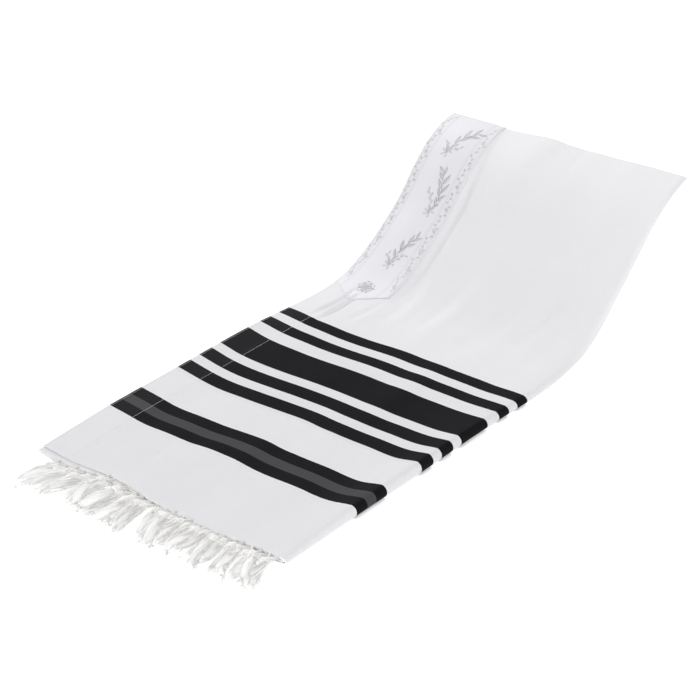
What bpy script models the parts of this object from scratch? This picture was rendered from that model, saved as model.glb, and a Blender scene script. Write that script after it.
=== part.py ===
"""A prayer shawl, folded across and then lengthwise, lying on a surface with its far end raised.

Metres, +Z up. The strip runs along +Y from its fringed end to the cross fold, and X goes across it,
from the neck edge at -X to the lengthwise fold at +X. The origin is on the flat underside.
"""

import math
import random
from collections import namedtuple

import bpy
from mathutils import Vector

# The cloth as folded
FOLDED_WIDTH = 0.415
HALF_LENGTH = 0.908
CLOTH = 0.0016
SEAM_GAP = 0.0003
FRINGE_EDGE_Y = -0.268
FOLD_REACH = 0.009
LOWER_LAYER_INSET = 0.004
CROSS_FOLD_RADIUS = 0.003
CROSS_FOLD_SLIT = 0.0002

# How high the stack of layers stands above its underside, in metres, at five places across it, and
# how far the lengthwise fold lies inside the full width
Section = namedtuple("Section", "along neck_edge quarter middle dip ridge narrower")
PLACES_ACROSS = (0.0, 0.25, 0.50, 0.80, 0.97)
SECTIONS = (
    Section(0.000, 0.0090, 0.0090, 0.0085, 0.0080, 0.0110, 0.0000),
    Section(0.060, 0.0125, 0.0120, 0.0090, 0.0075, 0.0140, 0.0010),
    Section(0.130, 0.0160, 0.0135, 0.0095, 0.0070, 0.0170, 0.0020),
    Section(0.260, 0.0160, 0.0110, 0.0095, 0.0075, 0.0180, 0.0030),
    Section(0.400, 0.0140, 0.0100, 0.0090, 0.0080, 0.0165, 0.0050),
    Section(0.530, 0.0090, 0.0090, 0.0085, 0.0080, 0.0120, 0.0050),
    Section(0.640, 0.0080, 0.0080, 0.0080, 0.0075, 0.0095, 0.0020),
    Section(0.800, 0.0072, 0.0072, 0.0072, 0.0072, 0.0078, 0.0000),
    Section(0.908, 0.0062, 0.0062, 0.0062, 0.0062, 0.0064, 0.0000),
)

# How steeply the underside climbs, in degrees, along the neck edge and along the lengthwise fold
Climb = namedtuple("Climb", "along neck_edge fold_edge")
CLIMBS = (
    Climb(0.000, 0, 0),
    Climb(0.490, 0, 0),
    Climb(0.540, 0, 8),
    Climb(0.580, 6, 12),
    Climb(0.630, 24, 33),
    Climb(0.680, 33, 48),
    Climb(0.730, 37, 45),
    Climb(0.780, 51, 49),
    Climb(0.830, 42, 38),
    Climb(0.880, 18, 22),
    Climb(0.908, 0, 16),
)
CLIMB_STEP = 0.004

# The largest soft folds of the top panel: from one place to another, half their width, and their
# height, which is negative for a trough. Across is a share of the width and the rest are metres.
Crease = namedtuple("Crease", "across along end_across end_along half_width height")
CREASES = (
    Crease(0.36, 0.02, 0.44, 0.20, 0.030, 0.0016),
    Crease(0.56, 0.10, 0.60, 0.34, 0.026, -0.0012),
    Crease(0.66, 0.30, 0.62, 0.56, 0.030, 0.0014),
    Crease(0.30, 0.50, 0.25, 0.78, 0.026, -0.0020),
    Crease(0.46, 0.50, 0.50, 0.70, 0.024, 0.0018),
    Crease(0.60, 0.50, 0.70, 0.72, 0.024, -0.0016),
    Crease(0.80, 0.48, 0.84, 0.66, 0.022, 0.0014),
    Crease(0.40, 0.80, 0.46, 0.95, 0.028, 0.0014),
)

# The neck band, sewn over the neck edge on both halves and folded with the cloth
BAND_WIDTH = 0.096
BAND_EDGE_INSET = 0.0015
BAND_START = 0.555
BAND_POINT = 0.033
BAND_THICKNESS = 0.0009
BAND_END_ROWS = 2

# The fringe: each tassel is two strands that meet at a knot and spread into a tuft. Share is of the
# tassel's length, and offset is from the tassel's middle line to the strand's.
TASSELS_ACROSS = 15
STRIP_DEPTH = 0.004
STRIP_HEIGHT = 0.0014
STRIP_MARGIN = 0.005
ROOT_WIDTH = 0.0026
ROOT_OFFSET = 0.0042
Strand = namedtuple("Strand", "share width height offset")
STRAND = (
    Strand(0.16, 0.0024, 0.0020, 0.0050),
    Strand(0.36, 0.0056, 0.0058, 0.0033),
    Strand(0.44, 0.0042, 0.0044, 0.0026),
    Strand(0.70, 0.0070, 0.0062, 0.0042),
    Strand(1.00, 0.0036, 0.0022, 0.0046),
)

# The rows of tassels. Root, tuft and tip are heights, slimness scales the widths, and lean is the
# most that a tassel turns aside, in degrees.
Row = namedtuple("Row", "name start end root tuft tip slimness length lean seed")
FRINGE_ROWS = (
    Row("fringe_top", -0.086, 0.199, 0.0072, 0.0112, 0.0092, 1.00, 0.075, 6.0, 11),
    Row("fringe_middle", -0.190, 0.200, 0.0042, 0.0041, 0.0030, 0.64, 0.069, 1.6, 23),
    Row("fringe_bottom", -0.176, 0.190, 0.0012, 0.0041, 0.0030, 0.64, 0.071, 1.6, 37),
)
ROOT_RISE = 0.4
SHORTEST, LONGEST = 0.90, 1.06

# The hidden layers part from each other in a groove, this deep and this wide at the edges
GROOVE_DEPTH = 0.006
GROOVE_WIDTH = 0.0006

# How finely the solids are divided: columns round the folded cloth, and rows in each stretch of it
BOTTOM_COLUMNS = 7
TOP_COLUMNS_EACH = 3
TOP_COLUMNS = BOTTOM_COLUMNS * TOP_COLUMNS_EACH
FOLD_COLUMNS = 6
CURL_ROWS = 4
FLAT_END = HALF_LENGTH - CROSS_FOLD_RADIUS
Stretch = namedtuple("Stretch", "end rows")
STRETCHES = (
    Stretch(0.480, 15),
    Stretch(0.600, 6),
    Stretch(FLAT_END, 14),
)

# Colours and finishes
WHITE_WOOL = (0.86, 0.86, 0.87, 1.0)
WHITE_SATIN = (0.88, 0.88, 0.90, 1.0)
CREAM_YARN = (0.87, 0.86, 0.82, 1.0)
WOOL_ROUGHNESS, SATIN_ROUGHNESS, YARN_ROUGHNESS = 0.9, 0.45, 0.95
SHARP_EDGE = math.radians(50.0)


def smooth_between(places, values, place):
    """The value at a place on a smooth curve through the listed values."""
    last = len(places) - 1
    place = min(max(place, places[0]), places[last])
    i = 0
    while i < last - 1 and place > places[i + 1]:
        i += 1

    def slope(k):
        before, after = max(k - 1, 0), min(k + 1, last)
        return (values[after] - values[before]) / (places[after] - places[before])

    span = places[i + 1] - places[i]
    t = (place - places[i]) / span
    rise = values[i + 1] - values[i]
    bend = slope(i) * (1.0 - t) - slope(i + 1) * t
    return values[i] + rise * t * t * (3.0 - 2.0 * t) + bend * span * t * (1.0 - t)


def side_path(edge):
    """The underside's (y, z) along one side edge, a point each CLIMB_STEP of cloth."""
    y, z = FRINGE_EDGE_Y, 0.0
    path = [(y, z)]
    for near, far in zip(CLIMBS, CLIMBS[1:] + CLIMBS[-1:]):
        end = far.along if far is not near else HALF_LENGTH + 8 * CLIMB_STEP
        while len(path) * CLIMB_STEP < end:
            share = 0.0
            if far is not near:
                share = max(0.0, (len(path) - 0.5) * CLIMB_STEP - near.along) / (end - near.along)
            first, last = getattr(near, edge), getattr(far, edge)
            slope = math.radians(first + (last - first) * share)
            y += math.cos(slope) * CLIMB_STEP
            z += math.sin(slope) * CLIMB_STEP
            path.append((y, z))
    return path


NECK_PATH = side_path("neck_edge")
FOLD_PATH = side_path("fold_edge")


def on_path(path, along):
    """The (y, z) of a side path at a distance along the cloth, which may be before its start."""
    if along <= 0.0:
        return path[0][0] + along, path[0][1]
    i = min(int(along / CLIMB_STEP), len(path) - 2)
    share = along / CLIMB_STEP - i
    return tuple(path[i][k] + (path[i + 1][k] - path[i][k]) * share for k in (0, 1))


def underside(x, along):
    """The point of the underside at x across the strip and a distance along it."""
    share = x / FOLDED_WIDTH + 0.5
    neck, fold = on_path(NECK_PATH, along), on_path(FOLD_PATH, along)
    return Vector((x, *(neck[k] + (fold[k] - neck[k]) * share for k in (0, 1))))


def raised(x, along, height):
    """The point that stands at a height above the underside, square to it."""
    ahead = underside(x, along + CLIMB_STEP) - underside(x, along - CLIMB_STEP)
    aside = underside(x + CLIMB_STEP, along) - underside(x - CLIMB_STEP, along)
    return underside(x, along) + aside.cross(ahead).normalized() * height


def crease_height(across, along):
    """How much the soft folds raise the top panel there."""
    total = 0.0
    for crease in CREASES:
        start = Vector((crease.across * FOLDED_WIDTH, crease.along))
        run = Vector((crease.end_across * FOLDED_WIDTH, crease.end_along)) - start
        offset = Vector((across * FOLDED_WIDTH, along)) - start
        share = offset.dot(run) / run.length_squared
        aside = abs(offset.cross(run)) / run.length / crease.half_width
        if 0.0 < share < 1.0 and aside < 1.0:
            total += crease.height * math.sin(math.pi * share) * (1.0 - aside * aside) ** 2
    return total


def stack_height(across, along):
    """How high the top of the folded stack stands above its underside."""
    across = min(across, PLACES_ACROSS[-1])
    places = [row.along for row in SECTIONS]
    heights = []
    for column in range(1, 1 + len(PLACES_ACROSS)):
        heights.append(smooth_between(places, [row[column] for row in SECTIONS], along))
    return smooth_between(PLACES_ACROSS, heights, across) + crease_height(across, along)


def fold_start(along):
    """The x at which the top panel starts to turn down round the lengthwise fold."""
    places = [row.along for row in SECTIONS]
    narrower = smooth_between(places, [row.narrower for row in SECTIONS], along)
    return FOLDED_WIDTH / 2.0 - FOLD_REACH - narrower


def folded_profile(along, inset):
    """(x, height) round a layer that lies inset inside the outer face: over the top from the neck
    edge, round the lengthwise fold, and back underneath."""
    neck_x, fold_x = -FOLDED_WIDTH / 2.0, fold_start(along)
    profile = []
    for k in range(TOP_COLUMNS + 1):
        x = neck_x + (fold_x - neck_x) * k / TOP_COLUMNS
        profile.append((x, stack_height(x / FOLDED_WIDTH + 0.5, along) - inset))
    half = stack_height(1.0, along) / 2.0
    for k in range(1, FOLD_COLUMNS):
        turn = math.pi * (0.5 - k / FOLD_COLUMNS)
        x = fold_x + (FOLD_REACH - inset) * math.cos(turn)
        profile.append((x, half + (half - inset) * math.sin(turn)))
    for k in range(BOTTOM_COLUMNS + 1):
        profile.append((fold_x + (neck_x + LOWER_LAYER_INSET - fold_x) * k / BOTTOM_COLUMNS, inset))
    return profile


def stations():
    """(distance along, turn) of each row. The last rows turn round the cross fold."""
    found = [(0.0, 0.0)]
    for stretch in STRETCHES:
        start = found[-1][0]
        for k in range(1, stretch.rows + 1):
            found.append((start + (stretch.end - start) * k / stretch.rows, 0.0))
    return found + [(FLAT_END, math.pi / 2.0 * k / CURL_ROWS) for k in range(1, CURL_ROWS + 1)]


def squeeze(half_height, turn):
    """How much the cross fold draws a layer in towards the middle of the stack."""
    return max(math.cos(turn), CROSS_FOLD_SLIT / half_height)


def folded_row(along, turn, inset):
    """The points round one section of a layer."""
    row = []
    reach = (CROSS_FOLD_RADIUS - inset) * math.sin(turn)
    for x, height in folded_profile(along, inset):
        middle = stack_height(x / FOLDED_WIDTH + 0.5, along) / 2.0
        drawn_in = (height - middle) * squeeze(middle - inset, turn)
        row.append(raised(x, along + reach, middle + drawn_in))
    return row


def make_object(name, points, faces, material):
    """A smooth-shaded object from points and faces."""
    mesh = bpy.data.meshes.new(name)
    mesh.from_pydata([tuple(point) for point in points], [], faces)
    mesh.shade_smooth()
    mesh.set_sharp_from_angle(angle=SHARP_EDGE)
    mesh.materials.append(material)
    obj = bpy.data.objects.new(name, mesh)
    bpy.context.scene.collection.objects.link(obj)
    return obj


def make_material(name, colour, roughness):
    """A Principled BSDF with its colour and roughness."""
    material = bpy.data.materials.new(name)
    material.use_nodes = True
    shader = material.node_tree.nodes["Principled BSDF"]
    shader.inputs["Base Color"].default_value = colour
    shader.inputs["Roughness"].default_value = roughness
    shader.inputs["Metallic"].default_value = 0.0
    material.diffuse_color = colour
    return material


def sheet_solid(name, outer_rows, inner_rows, material):
    """A closed sheet between two grids of points, with all four of its edges walled."""
    columns = len(outer_rows[0])
    last_row, last_column = len(outer_rows) - 1, columns - 1
    points, faces = [], []
    for outer, inner in zip(outer_rows, inner_rows):
        points += outer + inner

    def quad(*corners):
        faces.append(tuple((2 * row + side) * columns + column for row, column, side in corners))

    for row in range(last_row):
        ahead = row + 1
        for k in range(last_column):
            quad((row, k, 0), (row, k + 1, 0), (ahead, k + 1, 0), (ahead, k, 0))
            quad((row, k, 1), (ahead, k, 1), (ahead, k + 1, 1), (row, k + 1, 1))
        quad((row, 0, 0), (ahead, 0, 0), (ahead, 0, 1), (row, 0, 1))
        quad((row, last_column, 0), (row, last_column, 1), (ahead, last_column, 1),
             (ahead, last_column, 0))
    for k in range(last_column):
        quad((0, k, 0), (0, k, 1), (0, k + 1, 1), (0, k + 1, 0))
        quad((last_row, k, 0), (last_row, k + 1, 0), (last_row, k + 1, 1), (last_row, k, 1))
    return make_object(name, points, faces, material)


def outer_cloth(material):
    """The half of the cloth that shows: top panel, lengthwise fold and underside."""
    outer = [folded_row(along, turn, 0.0) for along, turn in stations()]
    inner = [folded_row(along, turn, CLOTH) for along, turn in stations()]
    return sheet_solid("outer_cloth", outer, inner, material)


def groove_points(along, turn, inset):
    """The groove in the neck edge of the hidden layers: its lower lip, bottom and upper lip."""
    neck_x = -FOLDED_WIDTH / 2.0
    reach = (CROSS_FOLD_RADIUS - inset) * math.sin(turn)
    middle = stack_height(0.0, along) / 2.0
    half_height = (middle - inset) * squeeze(middle - inset, turn)
    lip = min(GROOVE_WIDTH / 2.0, half_height / 4.0)
    return [
        raised(neck_x + LOWER_LAYER_INSET, along + reach, middle - lip),
        raised(neck_x + LOWER_LAYER_INSET + GROOVE_DEPTH, max(along, GROOVE_DEPTH) + reach, middle),
        raised(neck_x, along + reach, middle + lip),
    ]


def fringe_end(points, row):
    """The faces of the hidden layers' fringe end, with the groove between them running across."""
    outline, (low, bottom, high) = row[:-3], row[-3:]
    previous_upper, previous_lower = 0, len(outline) - 1
    faces = []
    for k in range(1, BOTTOM_COLUMNS + 1):
        upper, lower = k * TOP_COLUMNS_EACH, len(outline) - 1 - k
        middle = (points[outline[upper]] + points[outline[lower]]) / 2.0
        new = len(points)
        if k < BOTTOM_COLUMNS:
            lip = Vector((0.0, 0.0, GROOVE_WIDTH / 2.0))
            points += [middle - lip, middle + Vector((0.0, GROOVE_DEPTH, 0.0)), middle + lip]
            next_low, next_bottom, next_high = new, new + 1, new + 2
            faces.append((high, bottom, next_bottom, next_high))
            faces.append((bottom, low, next_low, next_bottom))
        else:
            points.append(middle)
            next_low = next_bottom = next_high = new
            faces.append((high, bottom, new))
            faces.append((bottom, low, new))
        top_edge = [outline[i] for i in range(upper, previous_upper - 1, -1)]
        faces.append((high, next_high, *top_edge))
        faces.append((low, outline[previous_lower], outline[lower], next_low))
        low, bottom, high = next_low, next_bottom, next_high
        previous_upper, previous_lower = upper, lower
    round_the_fold = [outline[i] for i in range(previous_lower, previous_upper - 1, -1)]
    faces.append((low, *round_the_fold))
    return faces


def cross_fold_end(row):
    """The faces that close the hidden layers at the cross fold."""
    outline, (low, bottom, high) = row[:-3], row[-3:]
    last = len(outline) - 1
    faces = []
    for k in range(BOTTOM_COLUMNS):
        first = k * TOP_COLUMNS_EACH
        face = [outline[first + i] for i in range(TOP_COLUMNS_EACH + 1)]
        face += [outline[last - k - 1], outline[last - k]]
        if k == 0:
            face += [low, bottom, high]
        faces.append(tuple(face))
    faces.append(tuple(outline[TOP_COLUMNS:TOP_COLUMNS + FOLD_COLUMNS + 1]))
    return faces


def inner_layers(material):
    """The hidden layers as one rounded solid, parted by a groove at the neck and fringe edges."""
    inset = CLOTH + SEAM_GAP
    points, faces, rows = [], [], []
    for along, turn in stations():
        row = folded_row(along, turn, inset) + groove_points(along, turn, inset)
        rows.append(list(range(len(points), len(points) + len(row))))
        points += row
    count = len(rows[0])
    for near, far in zip(rows, rows[1:]):
        for k in range(count):
            after = (k + 1) % count
            faces.append((near[k], near[after], far[after], far[k]))
    faces += fringe_end(points, rows[0])
    faces += cross_fold_end(rows[-1])
    return make_object("inner_layers", points, faces, material)


def panel_point(panel, row, column):
    """A point of a grid at a row and a column number that may lie between two of its own."""
    r, c = min(int(row), len(panel) - 2), min(int(column), len(panel[0]) - 2)
    near = panel[r][c].lerp(panel[r][c + 1], column - c)
    far = panel[r + 1][c].lerp(panel[r + 1][c + 1], column - c)
    return near.lerp(far, row - r)


def panel_normal(panel, row, column):
    """The direction out of a grid, from half a row and half a column either side."""
    before, after = max(row - 0.5, 0.0), min(row + 0.5, len(panel) - 1.0)
    ahead = panel_point(panel, after, column) - panel_point(panel, before, column)
    left = max(column - 0.5, 0.0)
    aside = panel_point(panel, row, column + 0.5) - panel_point(panel, row, left)
    return aside.cross(ahead).normalized()


def row_number(along):
    """The row that lies a distance along the cloth, which may be between two."""
    places = [place for place, turn in stations() if turn == 0.0]
    after = next(i for i, place in enumerate(places) if place > along)
    return after - (places[after] - along) / (places[after] - places[after - 1])


def neck_band(material):
    """The band over the neck edge, laid on the top panel's own points: pointed at its end, and
    turned over the cross fold."""
    column_width = (FOLDED_WIDTH - FOLD_REACH) / TOP_COLUMNS
    first = BAND_EDGE_INSET / column_width
    last = (BAND_EDGE_INSET + BAND_WIDTH) / column_width
    middle = (first + last) / 2.0
    columns = sorted([first, middle, last, *range(1, int(last) + 1)])
    panel = [folded_row(along, turn, 0.0) for along, turn in stations()]
    first_full = int(row_number(BAND_START + BAND_POINT)) + 1
    outer_rows, inner_rows = [], []
    for k in range(BAND_END_ROWS + len(panel) - first_full):
        outer, inner = [], []
        for column in columns:
            from_middle = abs(column - middle) / (last - middle)
            start = row_number(BAND_START + BAND_POINT * from_middle)
            row = start + (first_full - start) * k / BAND_END_ROWS
            if k >= BAND_END_ROWS:
                row = first_full + k - BAND_END_ROWS
            point, out = panel_point(panel, row, column), panel_normal(panel, row, column)
            outer.append(point + out * (SEAM_GAP + BAND_THICKNESS))
            inner.append(point + out * SEAM_GAP)
        outer_rows.append(outer)
        inner_rows.append(inner)
    return sheet_solid("neck_band", outer_rows, inner_rows, material)


def add_strand(points, faces, root_quad, middle, row, lean, length, side):
    """Grows one strand of a tassel out of a quad of the backing strip."""
    direction = Vector((math.sin(lean), -math.cos(lean), 0.0))
    across = Vector((-direction.y, direction.x, 0.0))
    first_height = row.root + (row.tuft - row.root) * ROOT_RISE
    heights = (first_height, row.tuft, row.tuft, row.tuft, row.tip)
    previous = root_quad
    for part, height in zip(STRAND, heights):
        centre = middle + direction * (length * part.share)
        centre += across * (side * part.offset * row.slimness)
        centre.z = height
        current = [len(points) + k for k in range(4)]
        for sideways, upward in ((0.5, 0.5), (-0.5, 0.5), (-0.5, -0.5), (0.5, -0.5)):
            aside = across * (sideways * part.width * row.slimness)
            points.append(centre + aside + Vector((0.0, 0.0, upward * part.height)))
        for k in range(4):
            after = (k + 1) % 4
            faces.append((previous[k], previous[after], current[after], current[k]))
        previous = current
    faces.append(tuple(previous))


def fringe(row, material):
    """One row of tassels on its narrow backing strip, parted from the cloth's edge."""
    chance = random.Random(row.seed)
    spacing = FOLDED_WIDTH / TASSELS_ACROSS
    half_root, root_offset = ROOT_WIDTH * row.slimness / 2.0, ROOT_OFFSET * row.slimness
    near, far = FRINGE_EDGE_Y - SEAM_GAP, FRINGE_EDGE_Y - SEAM_GAP - STRIP_DEPTH
    edges, strands = [row.start - root_offset - half_root - STRIP_MARGIN], []
    middle = row.start
    while middle <= row.end:
        lean = math.radians(chance.uniform(-row.lean, row.lean))
        length = row.length * chance.uniform(SHORTEST, LONGEST)
        for side in (-1, 1):
            root = middle + side * root_offset
            strands.append((len(edges), middle, lean, length, side))
            edges += [root - half_root, root + half_root]
        middle += spacing
    edges.append(edges[-1] + STRIP_MARGIN)
    points, faces = [], []
    for x in edges:
        for y in (near, far):
            points.append(Vector((x, y, row.root + STRIP_HEIGHT / 2.0)))
            points.append(Vector((x, y, row.root - STRIP_HEIGHT / 2.0)))
    rooted = {edge for edge, *_ in strands}
    for k in range(len(edges) - 1):
        a, b = 4 * k, 4 * (k + 1)
        faces += [(a, a + 2, b + 2, b), (a + 1, b + 1, b + 3, a + 3), (a, b, b + 1, a + 1)]
        if k not in rooted:
            faces.append((a + 2, a + 3, b + 3, b + 2))
    end = 4 * (len(edges) - 1)
    faces += [(0, 1, 3, 2), (end, end + 2, end + 3, end + 1)]
    for edge, middle, lean, length, side in strands:
        a, b = 4 * edge, 4 * (edge + 1)
        root_quad = (b + 2, a + 2, a + 3, b + 3)
        add_strand(points, faces, root_quad, Vector((middle, far, 0.0)), row, lean, length, side)
    return make_object(row.name, points, faces, material)


def main():
    for obj in list(bpy.data.objects):
        bpy.data.objects.remove(obj)
    outer_cloth(make_material("white_wool", WHITE_WOOL, WOOL_ROUGHNESS))
    inner_layers(make_material("white_wool_inside", WHITE_WOOL, WOOL_ROUGHNESS))
    neck_band(make_material("white_satin", WHITE_SATIN, SATIN_ROUGHNESS))
    for row in FRINGE_ROWS:
        fringe(row, make_material(row.name + "_yarn", CREAM_YARN, YARN_ROUGHNESS))


main()
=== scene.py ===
# %% [markdown]
# # A prayer shawl, folded, with its far end raised
#
# The real shawl is one length of white wool, woven with black stripes. A satin band lies along the
# middle of its neck edge, and both of its short ends carry a knotted fringe. Here it is folded in
# half across and then in half lengthwise, so four layers lie on each other. The solids of the part
# already hold its size. This lesson dresses them in woven cloth, satin and yarn, in metres.

# %% Load the solids as the frame
import math
import random
from collections import namedtuple

import bpy
import numpy as np
from mathutils import Matrix, Vector


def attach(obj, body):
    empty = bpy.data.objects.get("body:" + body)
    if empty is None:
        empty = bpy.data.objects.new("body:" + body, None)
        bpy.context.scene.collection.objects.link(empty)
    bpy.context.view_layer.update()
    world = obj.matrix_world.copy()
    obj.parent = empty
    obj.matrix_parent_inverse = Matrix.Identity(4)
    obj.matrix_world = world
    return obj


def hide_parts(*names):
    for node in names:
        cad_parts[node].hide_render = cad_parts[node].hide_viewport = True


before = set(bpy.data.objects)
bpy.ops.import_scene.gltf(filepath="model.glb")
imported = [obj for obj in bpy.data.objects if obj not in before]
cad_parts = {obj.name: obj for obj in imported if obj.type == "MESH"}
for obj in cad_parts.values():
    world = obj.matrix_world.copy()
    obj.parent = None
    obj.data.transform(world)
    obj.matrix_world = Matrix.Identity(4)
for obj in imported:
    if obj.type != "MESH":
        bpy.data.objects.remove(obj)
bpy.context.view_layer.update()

print("solids:", sorted(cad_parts))

# %% [markdown]
# ## The camera
#
# A camera that is calibrated to a picture comes first, because every later look is judged through
# it. It stands to the right of the fringed end and looks down along the strip. Its place is worked
# out from the direction it looks in, its distance, and where the origin falls in the picture.

# %% Place the camera
CAMERA_AZIMUTH = math.radians(39.8)
CAMERA_ELEVATION = math.radians(29.41)
CAMERA_DISTANCE = 4.0
SENSOR_WIDTH, LENS = 36.0, 157.7
ORIGIN_RIGHT, ORIGIN_UP = -0.0648, -0.0952

backward = Vector((
    math.sin(CAMERA_AZIMUTH) * math.cos(CAMERA_ELEVATION),
    -math.cos(CAMERA_AZIMUTH) * math.cos(CAMERA_ELEVATION),
    math.sin(CAMERA_ELEVATION),
))
rightward = Vector((math.cos(CAMERA_AZIMUTH), math.sin(CAMERA_AZIMUTH), 0.0))
upward = backward.cross(rightward)
camera_data = bpy.data.cameras.new("camera")
camera_data.sensor_width, camera_data.lens = SENSOR_WIDTH, LENS
camera = bpy.data.objects.new("camera", camera_data)
bpy.context.scene.collection.objects.link(camera)
camera.matrix_world = Matrix.Translation(
    backward * CAMERA_DISTANCE - rightward * ORIGIN_RIGHT - upward * ORIGIN_UP
) @ Matrix((rightward, upward, backward)).transposed().to_4x4()
bpy.context.scene.camera = camera
print("camera at", [round(c, 3) for c in camera.matrix_world.translation])

# %% [markdown]
# ## The shape of the folded cloth
#
# Cloth that lies folded is told by three things: how its underside climbs from the flat part to the
# raised end, how high the stack of layers stands above that underside, and which soft folds run
# over the top. The first two nearly repeat the named sizes of the solids, so the woven cloth takes
# up almost the same space. The third adds smaller folds that a solid doesn't need.

# %% Tables with named columns
def table(fields, *rows):
    """A list of rows whose values have names."""
    Row = namedtuple("Row", fields)
    return [Row(*row) for row in rows]


# %% Sizes of the fold
FOLDED_WIDTH = 0.415
HALF_LENGTH = 0.908
CLOTH = 0.0016
SEAM_GAP = 0.0003
FRINGE_EDGE_Y = -0.268
FOLD_REACH = 0.009
LOWER_LAYER_INSET = 0.004
CROSS_FOLD_RADIUS = 0.003
CROSS_FOLD_SLIT = 0.0002
FLAT_END = HALF_LENGTH - CROSS_FOLD_RADIUS
CURL_LENGTH = CROSS_FOLD_RADIUS * math.pi / 2.0
NECK_X = -FOLDED_WIDTH / 2.0

PLACES_ACROSS = (0.0, 0.25, 0.50, 0.80, 0.97)
SECTIONS = table(
    "along neck_edge quarter middle dip ridge narrower",
    (0.000, 0.0090, 0.0090, 0.0085, 0.0080, 0.0110, 0.0000),
    (0.060, 0.0125, 0.0120, 0.0090, 0.0075, 0.0140, 0.0010),
    (0.130, 0.0160, 0.0135, 0.0095, 0.0070, 0.0170, 0.0020),
    (0.260, 0.0160, 0.0110, 0.0095, 0.0075, 0.0180, 0.0040),
    (0.400, 0.0140, 0.0100, 0.0090, 0.0080, 0.0160, 0.0080),
    (0.530, 0.0090, 0.0090, 0.0085, 0.0080, 0.0115, 0.0070),
    (0.640, 0.0080, 0.0080, 0.0080, 0.0075, 0.0095, 0.0020),
    (0.800, 0.0072, 0.0072, 0.0072, 0.0072, 0.0078, -0.0020),
    (0.908, 0.0062, 0.0062, 0.0062, 0.0062, 0.0064, 0.0000),
)
CLIMBS = table(
    "along neck_edge fold_edge",
    (0.000, 0, 0),
    (0.490, 0, 0),
    (0.540, 0, 8),
    (0.580, 6, 12),
    (0.630, 24, 33),
    (0.680, 33, 48),
    (0.730, 37, 45),
    (0.780, 51, 49),
    (0.830, 42, 38),
    (0.880, 18, 22),
    (0.908, 0, 16),
)
CLIMB_STEP = 0.004
CREASE_FIELDS = "across along end_across end_along half_width height"
CREASES = table(
    CREASE_FIELDS,
    (0.36, 0.02, 0.44, 0.20, 0.030, 0.0016),
    (0.56, 0.10, 0.60, 0.34, 0.026, -0.0012),
    (0.66, 0.30, 0.62, 0.56, 0.030, 0.0014),
    (0.30, 0.50, 0.25, 0.78, 0.026, -0.0020),
    (0.46, 0.50, 0.50, 0.70, 0.024, 0.0018),
    (0.60, 0.50, 0.70, 0.72, 0.024, -0.0016),
    (0.80, 0.48, 0.84, 0.66, 0.022, 0.0014),
    (0.40, 0.80, 0.46, 0.95, 0.028, 0.0014),
)
FINE_CREASES = table(
    CREASE_FIELDS,
    (0.098, 0.480, 0.102, 0.590, 0.0055, -0.0034),
    (0.118, 0.490, 0.118, 0.580, 0.005, 0.0018),
    (0.138, 0.475, 0.134, 0.575, 0.0055, -0.0032),
    (0.268, 0.560, 0.262, 0.895, 0.011, -0.0032),
    (0.350, 0.530, 0.330, 0.660, 0.012, 0.0012),
    (0.212, 0.500, 0.236, 0.590, 0.009, -0.0016),
    (0.300, 0.515, 0.300, 0.640, 0.010, -0.0013),
    (0.420, 0.530, 0.455, 0.680, 0.014, -0.0018),
    (0.480, 0.560, 0.500, 0.640, 0.009, 0.0007),
    (0.660, 0.590, 0.720, 0.670, 0.010, -0.0009),
    (0.740, 0.590, 0.800, 0.690, 0.010, 0.0010),
    (0.780, 0.590, 0.830, 0.700, 0.010, -0.0010),
    (0.356, 0.036, 0.322, 0.128, 0.007, 0.0009),
    (0.330, 0.040, 0.300, 0.128, 0.009, -0.0008),
    (0.465, 0.015, 0.485, 0.120, 0.020, -0.0011),
    (0.690, 0.020, 0.700, 0.110, 0.022, 0.0008),
    (0.305, 0.195, 0.265, 0.256, 0.008, 0.0007),
    (0.600, 0.830, 0.580, 0.930, 0.014, -0.0010),
    (0.460, 0.850, 0.480, 0.930, 0.012, 0.0008),
    (0.780, 0.850, 0.800, 0.930, 0.014, 0.0008),
)

# %% Smooth curves through a few values
def smooth_between(places, values, place):
    """The value at each place on a smooth curve through the listed values."""
    places, place = np.asarray(places, float), np.asarray(place, float)
    values = np.stack([np.broadcast_to(value, place.shape) for value in values])
    last = len(places) - 1
    place = np.clip(place, places[0], places[last])
    i = np.clip(np.searchsorted(places, place) - 1, 0, last - 1)

    def value_at(k):
        return np.take_along_axis(values, k[None], 0)[0]

    def slope_at(k):
        before, after = np.maximum(k - 1, 0), np.minimum(k + 1, last)
        return (value_at(after) - value_at(before)) / (places[after] - places[before])

    span = places[i + 1] - places[i]
    t = (place - places[i]) / span
    rise = value_at(i + 1) - value_at(i)
    bend = slope_at(i) * (1.0 - t) - slope_at(i + 1) * t
    return value_at(i) + rise * t * t * (3.0 - 2.0 * t) + bend * span * t * (1.0 - t)


def section_value(field, along):
    """One column of the sections table at each distance along the cloth."""
    places = [section.along for section in SECTIONS]
    return smooth_between(places, [getattr(section, field) for section in SECTIONS], along)


# %% The climbing underside
def side_path(edge):
    """Distance along, y and z of the underside along one side edge."""
    along = np.arange(0.0, HALF_LENGTH + 9 * CLIMB_STEP, CLIMB_STEP)
    middles = (along[1:] + along[:-1]) / 2.0
    degrees = [getattr(climb, edge) for climb in CLIMBS]
    slopes = np.radians(np.interp(middles, [climb.along for climb in CLIMBS], degrees))
    y = FRINGE_EDGE_Y + np.concatenate([[0.0], np.cumsum(np.cos(slopes) * CLIMB_STEP)])
    z = np.concatenate([[0.0], np.cumsum(np.sin(slopes) * CLIMB_STEP)])
    return along, y, z


NECK_PATH, FOLD_PATH = side_path("neck_edge"), side_path("fold_edge")


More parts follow.
